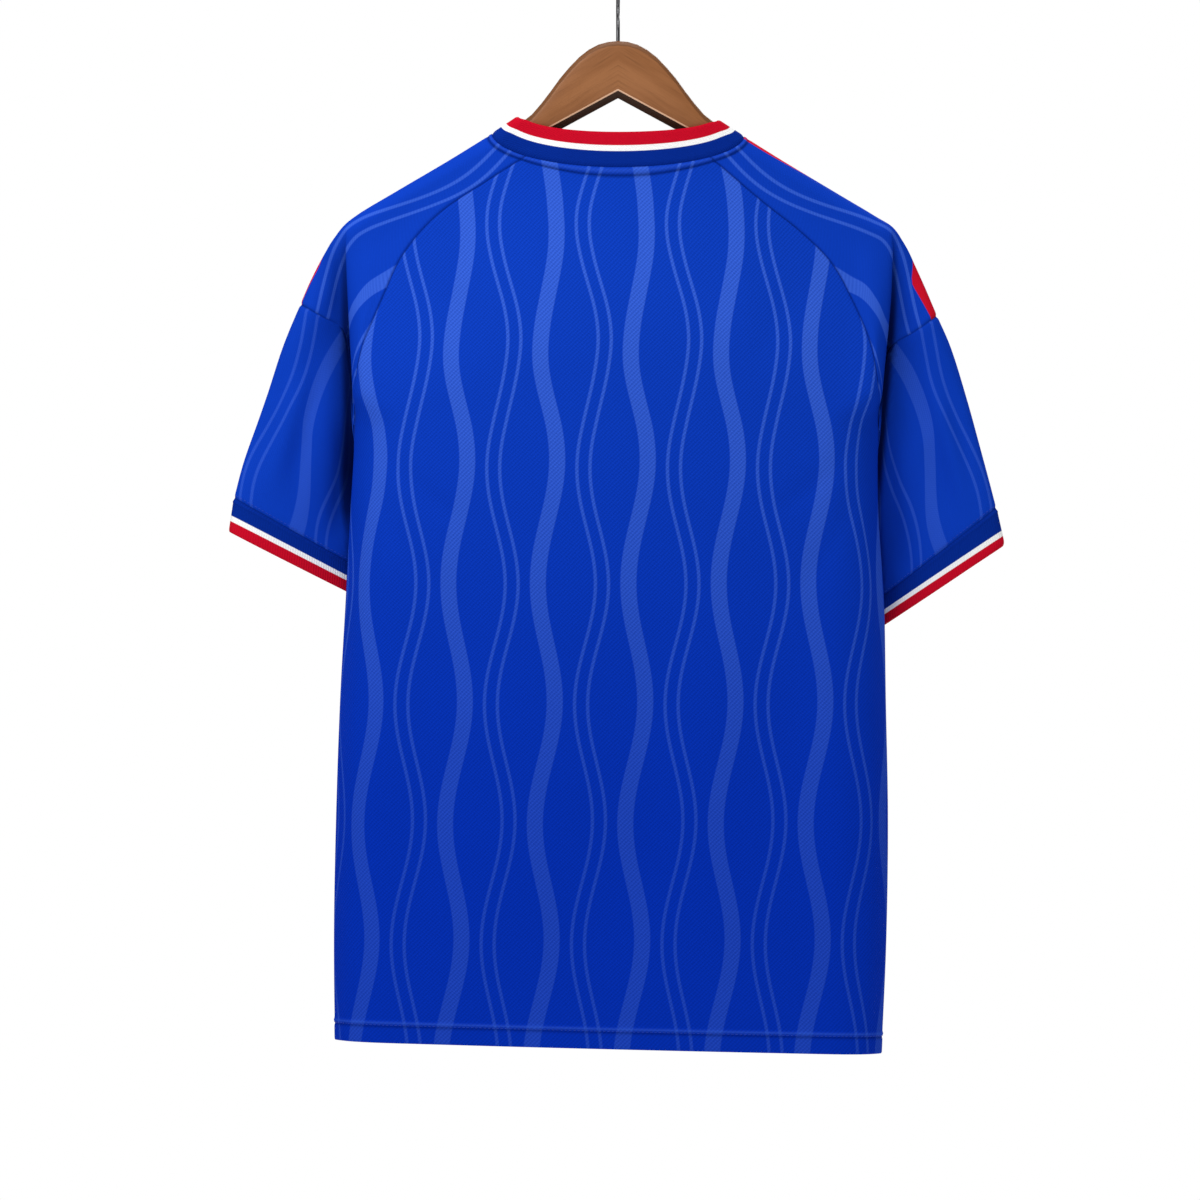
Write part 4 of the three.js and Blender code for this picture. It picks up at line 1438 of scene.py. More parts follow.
@dataclass(frozen=True)
class SeamRelief:
    """How the cloth is drawn in at its seams and raised along its edges, and the shade and highlights
    painted along them.
    """

    ditch: float = 0.0010
    ditch_width: float = 0.0015
    ease: float = 0.012
    neck_ridge: float = 0.0011
    neck_width: Pair = (0.0036, 0.0061)
    neck_groove: float = 0.0008
    hem_depth: float = 0.0160
    hem_raise: float = 0.0003
    hem_ridge: float = 0.0007
    hem_groove: float = 0.0006
    hem_widths: Pair = (0.0013, 0.0011)
    groove_place: Pair = (0.0026, 0.0030)
    turned_edge: Pair = (0.0005, 0.0007)
    neck_places: Point = (0.45, 0.5, 1.1)
    seam_shade: Pair = (0.52, 0.00085)
    soft_seam: float = 0.3
    neck_shade: Pair = (0.58, 0.0012)
    neck_light: Pair = (0.30, 0.3)
    hem_shade: Pair = (0.30, 0.0013)
    hem_light: Pair = (0.42, 0.0010)

    def at_seam(self, distance: Array) -> Array:
        """The draw of a seam at a distance from it, less than 0."""
        return -self.ditch * bump(distance, self.ditch_width)

    def neck_band(self, x: Array) -> Array:
        """The width of the turned seam below the collar, narrow at the shoulders."""
        narrow, wide = self.neck_width
        return lerp(narrow, wide, smooth(1.3 * (1.0 - np.abs(x) / FORM.neck_half_width)))

    def at_neck(self, distance: Array, x: Array) -> Array:
        """The ridge of the turned seam below the collar."""
        band = self.neck_band(x)
        middle, _, end = self.neck_places
        ridge = self.neck_ridge * bump(distance - band * middle, band * middle)
        return ridge - self.neck_groove * bump(distance - band * end, self.hem_widths[0])

    def dark_seam(self, *distances: Array) -> Array:
        """The shade in the seams at distances from them."""
        strength, width = self.seam_shade
        return strength * np.maximum.reduce([bump(distance, width) for distance in distances])

    def dark_neck(self, distance: Array, x: Array) -> Array:
        """The shade under the ridge below the collar."""
        strength, width = self.neck_shade
        return strength * bump(distance - self.neck_band(x) * self.neck_places[2], width)

    def bright_neck(self, distance: Array, x: Array) -> Array:
        """The light on the ridge below the collar."""
        band, (strength, width) = self.neck_band(x), self.neck_light
        return strength * bump(distance - band * self.neck_places[1], band * width)

    def dark_hem(self, distance: Array) -> Array:
        """The shade in the hem's sewn groove."""
        strength, width = self.hem_shade
        return strength * bump(distance - self.hem_depth + self.groove_place[1], width)

    def bright_hem(self, distance: Array) -> Array:
        """The light on the hem's sewn ridge."""
        strength, width = self.hem_light
        return strength * bump(distance - self.hem_depth, width)

    def at_hem(self, distance: Array) -> Array:
        """The doubled hem with its sewn ridge and groove."""
        band = self.hem_raise * smooth((self.hem_depth - distance) / 0.002)
        ridge = self.hem_ridge * bump(distance - self.hem_depth, self.hem_widths[0])
        groove = self.hem_groove * bump(distance - self.hem_depth + self.groove_place[0], self.hem_widths[1])
        depth, width = self.turned_edge
        return band + ridge - groove - depth * bump(distance, width)

    def eased(self, *distances: Array) -> Array:
        """Shares from 0 at any of the seams to 1 away from them all."""
        share = np.ones_like(distances[0])
        for distance in distances:
            share = share * smooth(distance / self.ease)
        return share


RELIEF = SeamRelief()
CUFF_SEAM = 0.6
NEAR_NECK = np.array([*np.arange(0.0, 0.0361, 0.003), 0.040, 0.045, 0.052])
AWAY_FROM_NECK = 0.065
EVEN_ROWS = np.concatenate([NEAR_NECK, np.linspace(AWAY_FROM_NECK, 0.975, 96), [0.985, 0.992, 0.996, 1.0]])
ABOVE_HEM = 0.024
NEAR_HEM = np.array([
    0.0215, 0.0195, 0.018, 0.017, 0.016, 0.015, 0.0142, 0.0134, 0.0126, 0.0115, 0.010,
    0.0075, 0.005, 0.0028, 0.0014, 0.0007, 0.0,
])
TO_FOLD = np.array([0.1, 0.082, 0.066, 0.052, 0.040, 0.030, 0.022, 0.0155, 0.0105, 0.0065, 0.003, 0.0])
BEFORE_FOLD = np.concatenate([np.linspace(0.0, 0.885, 64), 1.0 - TO_FOLD])
BEHIND_FOLD = np.array([
    0.02, 0.045, 0.075, 0.11, 0.15, 0.20, *np.linspace(0.26, 0.9, 12), 0.93, 0.955, 0.975, 0.988, 1.0,
])


@dataclass
class BodyPanel:
    """The back or the front of the body, from the neck and raglan seams to the hem."""

    face: Face
    piece: ClothPiece
    creases: tuple[Crease, ...]
    side_steps: int = 15
    middle_steps: int = 84
    raglan_steps: int = 52
    beside_seam: tuple[float, ...] = (0.0009, 0.0019, 0.0031, 0.0046)
    beside_end: float = 0.0056
    side_shade: Pair = (-0.38, 0.03)
    side_rows: int = 112
    wall: float = 0.0011

    def shares(self) -> Array:
        """The columns' places across, close together at the seams and where the sides round away."""
        start = FORM.body_rounding[Face.BACK] / (2 * FORM.hanger_tip_x)
        turns = np.linspace(0.0, math.pi / 2, self.side_steps, endpoint=False)
        rounded = start * (1.0 - np.cos(turns))
        kept = rounded[(rounded == 0) | (rounded > self.beside_end)]
        side = np.unique(np.concatenate([kept, self.beside_seam]))
        middle = np.linspace(start, 1.0 - start, self.middle_steps + 1)
        return np.concatenate([side, middle, 1.0 - side[::-1]])

    def laid_flat(self) -> tuple[Array, Array]:
        """Places the panel's points laid flat.

        Returns:
            Their x and their z.
        """
        shares = self.shares()[None, :]
        t = np.concatenate([NEAR_NECK, np.linspace(AWAY_FROM_NECK, 1.0, self.raglan_steps)])[:, None]
        left, right = (FORM.raglan(side, self.face) for side in Side)
        place = lerp(left.at(t), right.at(t), shares[..., None])
        neck = lerp(left.at(0.0), right.at(0.0), shares[..., None])
        sag = FORM.neck_seam_at_x(self.face, neck[..., 0]) - neck[..., 2]
        upper_z = place[..., 2] + sag * (1.0 - t) ** 2
        length = FORM.underarm_z[Side.LEFT] - FORM.hem_z[Side.LEFT]
        rows = np.linspace(0.0, 1.0 - ABOVE_HEM / length, self.side_rows)[1:]
        rows = np.concatenate([rows, 1.0 - NEAR_HEM / length])[:, None]
        left_z, right_z = (lerp(FORM.underarm_z[side], FORM.hem_z[side], rows) for side in Side)
        x = lerp(FORM.edge_x(Side.LEFT, left_z), FORM.edge_x(Side.RIGHT, right_z), shares)
        return np.concatenate([place[..., 0], x]), np.concatenate([upper_z, lerp(left_z, right_z, shares)])

    def patch(self) -> ClothPatch:
        """The panel before it is creased."""
        return ClothPatch(FORM.on_face(self.face, *self.laid_flat()), False, -self.face.value)

    def creased(self) -> ClothPatch:
        """Adds the seams, the hem and the creases.

        Returns:
            The panel's outer face.
        """
        patch = self.patch()
        points = patch.points
        top, bottom, left, right = patch.from_edges(*Edge)
        x, z = points[..., 0], points[..., 2]
        soft = crease_height(self.creases, self.face, points) * RELIEF.eased(top, left, right)
        clear = FORM.clear_of_underarm(x, z)
        seams = (RELIEF.at_seam(left) + RELIEF.at_seam(right)) * clear
        seams = seams + RELIEF.at_neck(top, x) + RELIEF.at_hem(bottom)
        level, run = self.side_shade
        at_side = RELIEF.dark_seam(left, right) * clear * smooth((z - level) / run)
        # Painted shade in the fold between body and sleeve.
        in_fold = FORM.tuck(*self.laid_flat()) * FORM.above_underarm(z)
        if self.face is Face.FRONT:
            in_fold = in_fold * clear
        at_top = (RELIEF.soft_seam * RELIEF.dark_seam(top), RELIEF.dark_neck(top, x))
        bright = (RELIEF.bright_hem(bottom), RELIEF.bright_neck(top, x))
        patch = patch.moved(soft + seams).shone(*bright)
        return patch.shaded(at_side, *at_top, RELIEF.dark_hem(bottom), in_fold)

    def build(self) -> ClothPatch:
        """Makes and dresses the panel.

        Returns:
            Its outer face, which the sewing follows.
        """
        patch = self.creased()
        across, _ = patch.cut_coordinates(patch.points.shape[1] // 2)
        level = -patch.points[..., 2] + FORM.neck_centre_z[Face.BACK]
        self.piece.dress(patch.build(self.piece.name, across, level, self.wall))
        return patch


@dataclass
class Yoke:
    """A shoulder piece, over the crest from the back to the front raglan seam."""

    side: Side
    piece: ClothPiece
    creases: tuple[Crease, ...]
    band_turn: float = 0.0
    neck_turn: float = 0.0
    tip_run: Pair = (0.74, 0.12)
    neck_run: Pair = (0.46, 0.40)
    pattern_fold: float = 0.35
    beside_seam: Pair = (0.005, 0.012)
    half_columns: int = 76
    wall: float = 0.0011

    def ring_shares(self) -> Array:
        """The columns' shares from the crest to a seam, closer together at both."""
        even = np.linspace(0.0, 1.0, self.half_columns + 1)
        return np.unique(np.concatenate([closer_at_ends(even), 1.0 - np.array(self.beside_seam)]))

    def faces(self) -> tuple[tuple[Face, Array], tuple[Face, Array]]:
        """The shares from the crest on both faces, from the back seam over the crest to the front seam."""
        shares = self.ring_shares()[None, :]
        return (Face.BACK, shares[:, ::-1]), (Face.FRONT, shares[:, 1:])

    def rows(self) -> Array:
        """Places the rows so that one of them follows the fold between body and sleeve.

        Returns:
            The points' shares of the way from the neck seam to the cross seam.
        """
        grids = []
        for face, shares in self.faces():
            fold = FORM.fold_place(self.side, face, shares)[None, :]
            near = np.repeat(NEAR_NECK[:, None], shares.shape[1], axis=1)
            before = lerp(AWAY_FROM_NECK, fold, BEFORE_FOLD[:, None])
            behind = lerp(fold, 1.0, BEHIND_FOLD[:, None])
            grids.append(np.concatenate([near, before, behind]))
        return np.concatenate(grids, axis=1)

    def laid_flat(self, rows: Array) -> tuple[Array, Array, Array]:
        """Places the yoke's points laid flat, from the back seam over the crest to the front seam.

        Args:
            rows: The points' shares of the way from the neck seam to the cross seam.

        Returns:
            Their x, their z, and the points on the garment.
        """
        split = len(self.ring_shares())
        flat, placed = [], []
        for (face, shares), part in zip(self.faces(), (rows[:, :split], rows[:, split:])):
            place, rounded = FORM.flat_yoke(self.side, face, part, shares)
            flat.append(place)
            placed.append(FORM.on_face(face, place[..., 0], place[..., 2], rounded))
        flat = np.concatenate(flat, axis=1)
        return flat[..., 0], flat[..., 2], np.concatenate(placed, axis=1)

    def patch(self, rows: Optional[Array] = None) -> ClothPatch:
        """The yoke before it is creased, on its own rows or on others."""
        placed = self.laid_flat(self.rows() if rows is None else rows)[2]
        return ClothPatch(placed, False, self.side.value)

    def creased(self) -> ClothPatch:
        """Adds the seams and the creases.

        Returns:
            The yoke's outer face.
        """
        flat_x, flat_z, points = self.laid_flat(self.rows())
        patch = ClothPatch(points, False, self.side.value)
        top, bottom, left, right = patch.from_edges(*Edge)
        x, z = points[..., 0], points[..., 2]
        shares = self.ring_shares()
        crest = len(shares) - 1
        soft = two_faced_height(self.creases, points, crest) * RELIEF.eased(top, bottom, left, right)
        from_crest = np.concatenate([shares[::-1], shares[1:]])[None, :]
        ridge = RELIEF.at_neck(top, x) * lerp(0.3, 1.0, smooth(from_crest / 0.7))
        clear = FORM.clear_of_underarm(x, z)
        seams = (RELIEF.at_seam(left) + RELIEF.at_seam(right) + RELIEF.at_seam(bottom)) * clear + ridge
        # Painted shade in the fold between body and sleeve.
        in_fold = FORM.tuck(flat_x, flat_z)
        in_fold[:, crest:] *= lerp(1.0, clear, from_crest)[:, crest:]
        at_top = (RELIEF.soft_seam * RELIEF.dark_seam(top), RELIEF.dark_neck(top, x))
        patch = patch.moved(soft + seams).shone(RELIEF.bright_neck(top, x))
        return patch.shaded(RELIEF.dark_seam(left, right, bottom) * clear, *at_top, in_fold)

    def build(self) -> ClothPatch:
        """Makes and dresses the yoke.

        Returns:
            Its outer face, which the sewing follows.
        """
        middle = len(self.ring_shares()) - 1
        rows = self.rows()
        even = self.patch(np.repeat(EVEN_ROWS[:, None], rows.shape[1], axis=1))
        across, along = even.cut_coordinates(middle, self.pattern_fold)
        from_crest, _ = even.cut_coordinates(middle)
        share = along[:, middle] / along[-1, middle]
        at_tip = self.band_turn * smooth((share - self.tip_run[0]) / self.tip_run[1])
        at_neck = self.neck_turn * smooth((self.neck_run[0] - share) / self.neck_run[1])
        band = from_crest + (at_tip + at_neck)[:, None]
        across, along, band = (self.carried(values, rows) for values in (across, along, band))
        patch = replace(self.creased(), band=band)
        self.piece.dress(patch.build(self.piece.name, across, along, self.wall))
        return patch

    @staticmethod
    def carried(values: Array, rows: Array) -> Array:
        """Carries values over from the even rows to the points, column by column."""
        columns = [np.interp(row, EVEN_ROWS, column) for row, column in zip(rows.T, values.T)]
        return np.stack(columns, axis=1)


@dataclass
class SleeveTube:
    """The rings that a sleeve and its cuff are made of."""

    side: Side
    half_columns: int = 40

    def ring_shares(self) -> Array:
        """The columns' shares, from the underarm over the back to the crest and on over the front."""
        steps = np.arange(2 * self.half_columns)
        even = np.abs(self.half_columns - steps) / self.half_columns
        return closer_at_ends(even)

    def rings(self, outer: Array, inner: Array, half: Array, settle: Array) -> Array:
        """Places rings between an outer and an inner edge.

        Args:
            outer: Points of the outer edge, one a ring.
            inner: Points of the inner edge, one a ring.
            half: Half the tube's thickness, one number a ring.
            settle: From 0, the yoke's last ring, to 1, an oval, one number a ring.

        Returns:
            The rings' points.
        """
        across = unit(inner - outer)
        facing = unit(np.array([0.0, 1.0, 0.0]) - across[..., 1:2] * across)
        share = self.ring_shares()[None, :]
        sense = np.where(np.arange(2 * self.half_columns) < self.half_columns, -1.0, 1.0)[None, :]
        straight = lerp(outer[:, None, :], inner[:, None, :], share[..., None])
        swell = sense * half[:, None] * 2.0 * np.sqrt(share * (1.0 - share))
        oval = straight + facing[:, None, :] * swell[..., None]
        first = np.ones((1, 1))
        back = FORM.yoke(self.side, Face.BACK, first, share[:, : self.half_columns])
        front = FORM.yoke(self.side, Face.FRONT, first, share[:, self.half_columns :])
        cross = np.concatenate([back, front], axis=1)
        outer_start, inner_start = FORM.sleeve_outer(self.side).start, FORM.sleeve_inner(self.side).start
        chord = lerp(outer_start, inner_start, share[..., None])
        return lerp(straight + cross - chord, oval, settle[:, None, None])


@dataclass
class Sleeve:
    """A short sleeve, a tube from the cross seam to the cuff."""

    side: Side
    piece: ClothPiece
    creases: tuple[Crease, ...]
    rows: int = 44
    wall: float = 0.0011
    settling: float = 0.45
    smooth_inside: float = 0.12

    def patch(self) -> ClothPatch:
        """Places the sleeve's points.

        Returns:
            The sleeve before it is creased.
        """
        t = clustered(self.rows, (0.003, 0.007, 0.012, 0.018))
        _, cap, cuff = FORM.sleeve_half_depth
        outer = FORM.sleeve_outer(self.side).at(t)
        inner = FORM.sleeve_inner(self.side).at(t)
        points = SleeveTube(self.side).rings(outer, inner, lerp(cap, cuff, t), smooth(t / self.settling))
        return ClothPatch(points, True, self.side.value)

    def creased(self) -> ClothPatch:
        """Adds the seams and the creases.

        Returns:
            The sleeve's outer face.
        """
        patch = self.patch()
        points = patch.points
        top, bottom = patch.from_edges(Edge.TOP, Edge.BOTTOM)
        x, z = points[..., 0], points[..., 2]
        half = points.shape[1] // 2
        share = SleeveTube(self.side).ring_shares()[None, :]
        soft = two_faced_height(self.creases, points, half) * RELIEF.eased(top, bottom)
        soft = soft * smooth((1.0 - share) / self.smooth_inside)
        # Painted shade in the fold between body and sleeve.
        in_fold = FORM.tuck(x, z, behind=True)
        in_fold[:, half:] *= FORM.above_underarm(z[:, half:])
        clear = FORM.clear_of_underarm(x, z)
        dark = (RELIEF.dark_seam(top) * clear, CUFF_SEAM * RELIEF.dark_seam(bottom), in_fold)
        seams = RELIEF.at_seam(top) * clear + CUFF_SEAM * RELIEF.at_seam(bottom)
        return patch.moved(soft + seams).shaded(*dark)

    def build(self) -> ClothPatch:
        """Makes and dresses the sleeve.

        Returns:
            Its outer face, which the sewing follows.
        """
        patch = self.creased()
        across, along = patch.cut_coordinates(patch.points.shape[1] // 2)
        self.piece.dress(patch.build(self.piece.name, across, along, self.wall))
        return patch


@dataclass
class Cuff:
    """A rib cuff, a short tube that carries on from the sleeve."""

    side: Side
    piece: ClothPiece
    rows: int = 40
    wall: float = 0.0017
    swell: float = 0.0004
    swell_run: float = 0.004
    turned_edge: float = 0.0008
    edge_width: float = 0.0009
    ridge: float = 0.0004
    ridge_place: float = 0.0032
    fold_shade: float = 0.8
    corner_run: float = 0.15
    corner: dict = field(default_factory=lambda: {Side.LEFT: 0.0012, Side.RIGHT: 0.0030})

    def patch(self) -> ClothPatch:
        """Places the cuff's points.

        Returns:
            The cuff's outer face.
        """
        t = clustered(self.rows, (0.012, 0.03))
        outer_top = FORM.sleeve_outer(self.side).at(np.ones(1))
        inner_top = FORM.sleeve_inner(self.side).at(np.ones(1))
        outer = lerp(outer_top, np.array(FORM.cuff_outer_end.on(self.side)), t[:, None])
        inner = lerp(inner_top, np.array(FORM.cuff_inner_end.on(self.side)), t[:, None])
        _, _, half = FORM.sleeve_half_depth
        inset = self.corner[self.side] * (1.0 - rounding(1.0 - t, np.array(self.corner_run)))
        outer = outer + unit(inner - outer) * inset[:, None]
        points = SleeveTube(self.side).rings(outer, inner, np.full(len(t), half), np.ones(len(t)))
        patch = ClothPatch(points, True, self.side.value)
        top, bottom = patch.from_edges(Edge.TOP, Edge.BOTTOM)
        full = self.swell * smooth(top / self.swell_run)
        turned = self.turned_edge * bump(bottom, self.edge_width)
        ridge = self.ridge * bump(top - self.ridge_place, self.edge_width)
        # Painted shade in the fold between body and sleeve.
        in_fold = self.fold_shade * FORM.tuck(points[..., 0], points[..., 2], behind=True)
        in_fold[:, points.shape[1] // 2 :] = 0.0
        dark = (CUFF_SEAM * RELIEF.dark_seam(top), in_fold)
        return patch.moved(full + ridge + CUFF_SEAM * RELIEF.at_seam(top) - turned).shaded(*dark)

    def build(self) -> ClothPatch:
        """Makes and dresses the cuff.

        Returns:
            Its outer face, which the sewing follows.
        """
        patch = self.patch()
        across, along = patch.cut_coordinates(patch.points.shape[1] // 2)
        from_free_edge = along[-1:, :] - along
        self.piece.dress(patch.build(self.piece.name, across, from_free_edge, self.wall))
        return patch


@dataclass
class Collar:
    """A rib crew collar that stands on the neck seam and leans in to its top edge."""

    piece: ClothPiece
    rows: int = 30
    wall: float = 0.0019
    swell: float = 0.0006
    swell_run: float = 0.004
    turned_edge: float = 0.0009
    edge_width: float = 0.001
    seam_share: float = 0.4
    top_scale: float = 0.775
    top_shoulder_z: dict = field(default_factory=lambda: {Side.LEFT: -0.1144, Side.RIGHT: -0.1172})
    top_centre_z: dict = field(default_factory=lambda: {Face.BACK: -0.1284, Face.FRONT: -0.188})
    lean: float = 0.0035
    shoulder_round: float = 0.22
    top_power: float = 0.65
    end_round: float = 0.075
    end_width: float = 0.045

    def seam_loop(self, pieces: Grids) -> tuple[Array, Array]:
        """Joins the top rows of the panels and yokes into the whole neck seam.

        Args:
            pieces: The grids of the panels and yokes by name, before they are creased.

        Returns:
            The loop's points, and -1 or 1 for the face that each lies on.
        """
        half = pieces["yoke_left"].shape[1] // 2
        left, right = pieces["yoke_left"][0], pieces["yoke_right"][0]
        back, front = pieces["back_panel"][0], pieces["front_panel"][0]
        loop = np.concatenate([left[::-1][:-1], back[:-1], right[:-1], front[::-1][:-1]])
        sense = np.ones(len(loop))
        start = len(left) - 1 - half
        sense[start : len(left) - 1 + len(back) - 1 + half] = -1.0
        return loop, sense

    def patch(self, pieces: Grids) -> ClothPatch:
        """Places the collar's points, from its free edge down to the neck seam.

        Args:
            pieces: The grids of the panels and yokes by name, before they are creased.

        Returns:
            The collar's outer face.
        """
        loop, sense = self.seam_loop(pieces)
        x, y, z = loop[:, 0], loop[:, 1], loop[:, 2]
        span = np.clip(np.abs(x) / FORM.neck_half_width, 0.0, 1.0)
        dip = np.sin(np.arccos(span)) ** self.top_power
        shoulder = np.where(x < 0, self.top_shoulder_z[Side.LEFT], self.top_shoulder_z[Side.RIGHT])
        centre = np.where(sense < 0, self.top_centre_z[Face.BACK], self.top_centre_z[Face.FRONT])
        level = self.shoulder_round
        blunt = (np.hypot(np.sin(np.arccos(span)), level) / math.hypot(1.0, level)) ** self.top_power
        least = (level / math.hypot(1.0, level)) ** self.top_power
        top_x, top_z = x * self.top_scale, lerp(shoulder, centre, (blunt - least) / (1.0 - least))
        half = np.abs(y - FORM.sweep_y(x, z)) - self.lean * dip
        top = np.stack([top_x, FORM.sweep_y(top_x, top_z) + sense * half, top_z], axis=-1)
        top = lerp(top, loop, (self.end_round * bump(1.0 - span, self.end_width))[:, None])
        t = clustered(self.rows, (0.012, 0.03))[::-1][:, None, None]
        patch = ClothPatch(lerp(loop[None], top[None], t), True, 1)
        to_seam, to_edge = patch.from_edges(Edge.BOTTOM, Edge.TOP)
        full = self.swell * smooth(to_seam / self.swell_run)
        turned = self.turned_edge * bump(to_edge, self.edge_width)
        dark = self.seam_share * RELIEF.dark_seam(to_seam)
        return patch.moved(full - turned + self.seam_share * RELIEF.at_seam(to_seam)).shaded(dark)

    def build(self, pieces: Grids) -> ClothPatch:
        """Makes and dresses the collar.

        Args:
            pieces: The grids of the panels and yokes by name, before they are creased.

        Returns:
            Its outer face, which the sewing follows.
        """
        patch = self.patch(pieces)
        across, along = patch.cut_coordinates(0)
        self.piece.dress(patch.build(self.piece.name, across, along, self.wall))
        return patch


@dataclass
class StitchRow:
    """A row of lockstitches that lies on the cloth along a line."""

    PROFILE = (
        (-0.5, 0.45, -0.9), (-0.3, 0.95, 0.2), (0.0, 1.0, 0.55), (0.3, 0.95, 0.2), (0.5, 0.45, -0.9),
    )
    name: str
    lines: list[tuple[Array, Array]]
    material: Material
    stitch: float = 0.0026
    pitch: float = 0.0034
    thread: float = 0.00022
    look_ahead: float = 0.0008
    sides: int = 6

    def template(self) -> tuple[Array, list[list[int]]]:
        """Models one stitch: a short length of thread whose ends dip into the cloth.

        Returns:
            Its points, as share along, aside and up, and its faces.
        """
        profile = self.PROFILE
        turns = np.linspace(0.0, 2.0 * math.pi, self.sides, endpoint=False)
        points = [
            (along * self.stitch, size * self.thread * math.cos(turn),
             (size * math.sin(turn) + rise) * self.thread)
            for along, size, rise in profile
            for turn in turns
        ]
        faces = []
        for ring in range(len(profile) - 1):
            for side in range(self.sides):
                a, b = ring * self.sides + side, ring * self.sides + (side + 1) % self.sides
                faces.append([a, b, b + self.sides, a + self.sides])
        last = (len(profile) - 1) * self.sides
        faces.append(list(range(self.sides))[::-1])
        faces.append([last + side for side in range(self.sides)])
        return np.array(points), faces

    def build(self) -> Object:
        """Lays copies of the stitch along the lines, as one mesh.

        Returns:
            The row.
        """
        shape, faces = self.template()
        points, all_faces = [], []
        for line, normals in self.lines:
            steps = np.linalg.norm(np.diff(line, axis=0), axis=1)
            reach = np.concatenate([[0.0], np.cumsum(steps)])
            places = np.arange(self.pitch, reach[-1] - self.pitch / 2, self.pitch)
            at = read_line(places, reach, line)
            way = unit(read_line(places + self.look_ahead, reach, line) - at)
            up = read_line(places, reach, normals)
            up = unit(up - (up * way).sum(-1, keepdims=True) * way)
            aside = np.cross(up, way)
            for index in range(len(places)):
                base = len(points) * len(shape)
                frame_axes = np.stack([way[index], aside[index], up[index]])
                points.append(at[index] + shape @ frame_axes)
                all_faces.extend([[base + corner for corner in face] for face in faces])
        mesh = bpy.data.meshes.new(self.name)
        mesh.from_pydata(np.concatenate(points).tolist(), [], all_faces)
        piece = bpy.data.objects.new(self.name, mesh)
        bpy.context.scene.collection.objects.link(piece)
        make_active(piece)
        bpy.ops.object.shade_smooth()
        mesh.materials.append(self.material)
        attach(piece, "root")
        LOG.info("%s: %d stitches", self.name, len(points))
        return piece


